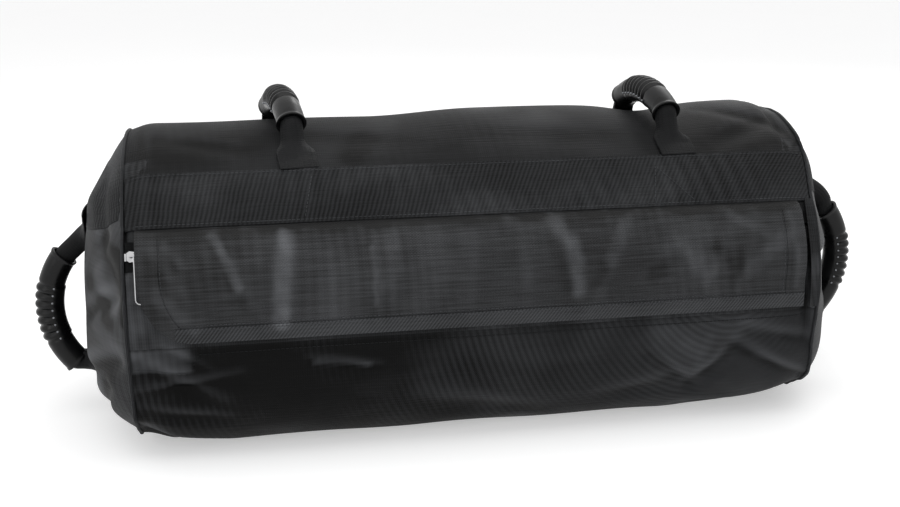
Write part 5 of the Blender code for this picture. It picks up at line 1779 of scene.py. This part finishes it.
for word, (y, z) in FILLER_PLACES.items():
    piece = copy_of(pattern, f"filler_{word}_sack")
    set_coordinates(piece, coordinates_of(piece) + np.array([0.0, y, z]))
    set_cloth_map(piece, coordinates_of(piece)[:, :2])
    finish_piece(piece, filler_cloth, "shell", "filler_nylon", (f"filler_{word}",))
    tie = add_shape(bpy.ops.mesh.primitive_cylinder_add, f"filler_tie_{word}_webbing", vertices=64,
                    radius=TIE_RADIUS, depth=TIE_WIDTH, end_fill_type="NOTHING", location=(TIE_PLACE, y, z),
                    rotation=ALONG_X)
    set_cloth_map(tie, coordinates_of(tie)[:, :2])
    thicken(tie, TIE_THICKNESS, subdivide=False)
    finish_piece(tie, webbing_cloth, "shell", "twill_webbing", (f"filler_tie_{word}",))
bpy.data.objects.remove(pattern)

# %% [markdown]
# ## Stitches
#
# Rows of thread hold the webbing, the hems and the seams. One stitch is a short rounded bar of a few faces.
# Each row sets copies of it along a line on the cloth, at a real stitch length.

# %% Rows of stitches
STITCH_PITCH = 0.0042
STITCH_LENGTH = 0.0030
STITCH_RADIUS = 0.00036

stitch = add_shape(bpy.ops.mesh.primitive_cylinder_add, "stitch_pattern", vertices=6, radius=STITCH_RADIUS,
                   depth=STITCH_LENGTH, rotation=ALONG_X)
stitch_points = coordinates_of(stitch)
stitch_faces = [list(face.vertices) for face in stitch.data.polygons]
bpy.data.objects.remove(stitch)


def sew(name, rows, body, slot="twill_webbing", finish=thread_finish):
    """Sews rows, each a list of (point, outward), with stitches at an even pitch."""
    points, faces = [], []
    for row in rows:
        line = np.array([point for point, _ in row])
        steps = np.concatenate([[0.0], np.cumsum(np.linalg.norm(np.diff(line, axis=0), axis=1))])
        outs = np.array([out for _, out in row])
        for distance in np.arange(STITCH_PITCH, steps[-1] - STITCH_PITCH / 2, STITCH_PITCH):
            at = Vector([np.interp(distance, steps, line[:, axis]) for axis in range(3)])
            ahead_point = Vector([np.interp(distance + 0.001, steps, line[:, axis]) for axis in range(3)])
            out = Vector([np.interp(distance, steps, outs[:, axis]) for axis in range(3)]).normalized()
            ahead = (ahead_point - at).normalized()
            aside = out.cross(ahead)
            first = len(points)
            for x, y, z in stitch_points:
                points.append(at + ahead * x + aside * y + out * z)
            faces += [[first + corner for corner in face] for face in stitch_faces]
    data = bpy.data.meshes.new(name)
    data.from_pydata(points, [], faces)
    piece = bpy.data.objects.new(name, data)
    bpy.context.scene.collection.objects.link(piece)
    smooth_shade(piece, 60.0)
    return finish_piece(piece, finish, body, slot)


def row_through(places, step, at):
    """A row through (x, distance along the cloth) places. A rule gives the (point, outward) of each."""
    row = []
    for (x_start, arc_start), (x_end, arc_end) in zip(places, places[1:]):
        count = max(2, int(math.hypot(x_end - x_start, arc_end - arc_start) / step))
        for index in range(count + 1):
            share = index / count
            row.append(at(x_start + (x_end - x_start) * share, arc_start + (arc_end - arc_start) * share))
    return row


def bag_row(places, offset, rear=False):
    """A row on the tube, through places on its front half or, mirrored, on its rear half."""
    def at(x, arc):
        angle = math.pi - arc / BAG_RADIUS if rear else arc / BAG_RADIUS
        return on_bag(x, angle, offset), straight_out(angle)
    return row_through(places, 0.006, at)


def flap_row(places, level):
    """A row on the flap, at a level over its inner face."""
    return row_through(
        places, 0.005, lambda x, arc: (flap_place(x, arc, level), straight_out(arc / BAG_RADIUS)))


STITCH_RISE = STITCH_RADIUS * 0.3  # a stitch's middle over the cloth it is sewn through
BAND_FACE = BAND_STANDOFF + BAND_THICKNESS + STITCH_RISE
CLOTH_FACE = 0.0003
for word, rear in (("front", False), ("rear", True)):
    rows = [bag_row([(-0.333, line), (0.333, line)], BAND_FACE, rear)
            for line in (BAND_TOP - 0.003, BAND_TOP - BAND_WIDTH + 0.003)]
    for x in (-0.162, 0.182):
        rows.append(bag_row([(x, 0.153), (x - 0.010, 0.104)], BAND_FACE, rear))
    rows.append(bag_row([(0.180, 0.147), (0.2135, 0.106)], BAND_FACE, rear))
    sew(f"band_{word}_stitches", rows, "shell")


FLAP_FACE = FLAP_THICKNESS + STITCH_RISE
HEM_FACE = HEM_LEVEL + HEM_THICKNESS + STITCH_RISE
hem_line = FLAP_LOW + HEM_HEIGHT
flap_rows = [
    flap_row([(-0.288, hem_line + 0.0022), (0.318, hem_line + 0.0022)], FLAP_FACE),
    flap_row([(-0.290, hem_line - 0.0018), (0.318, hem_line - 0.0018)], HEM_FACE),
    flap_row([(-0.3055, 0.035), (-0.3065, 0.089)], FLAP_FACE),
    flap_row([(0.2985, 0.010), (0.2985, 0.089)], FLAP_FACE),
]
sew("flap_stitches", flap_rows, "flap", "coated_nylon")
sew("corner_stitches", [
    bag_row([(-0.336, -0.0335), (-0.312, -0.0352), (-0.287, -0.0372)], CLOTH_FACE),
], "shell", "black_nylon")
sew("seam_stitches", [
    bag_row([(-0.284, -0.0350), (-0.276, -0.0180), (-0.180, -0.0170), (0.330, -0.0170)], CLOTH_FACE),
], "shell", "black_nylon", dark_thread)
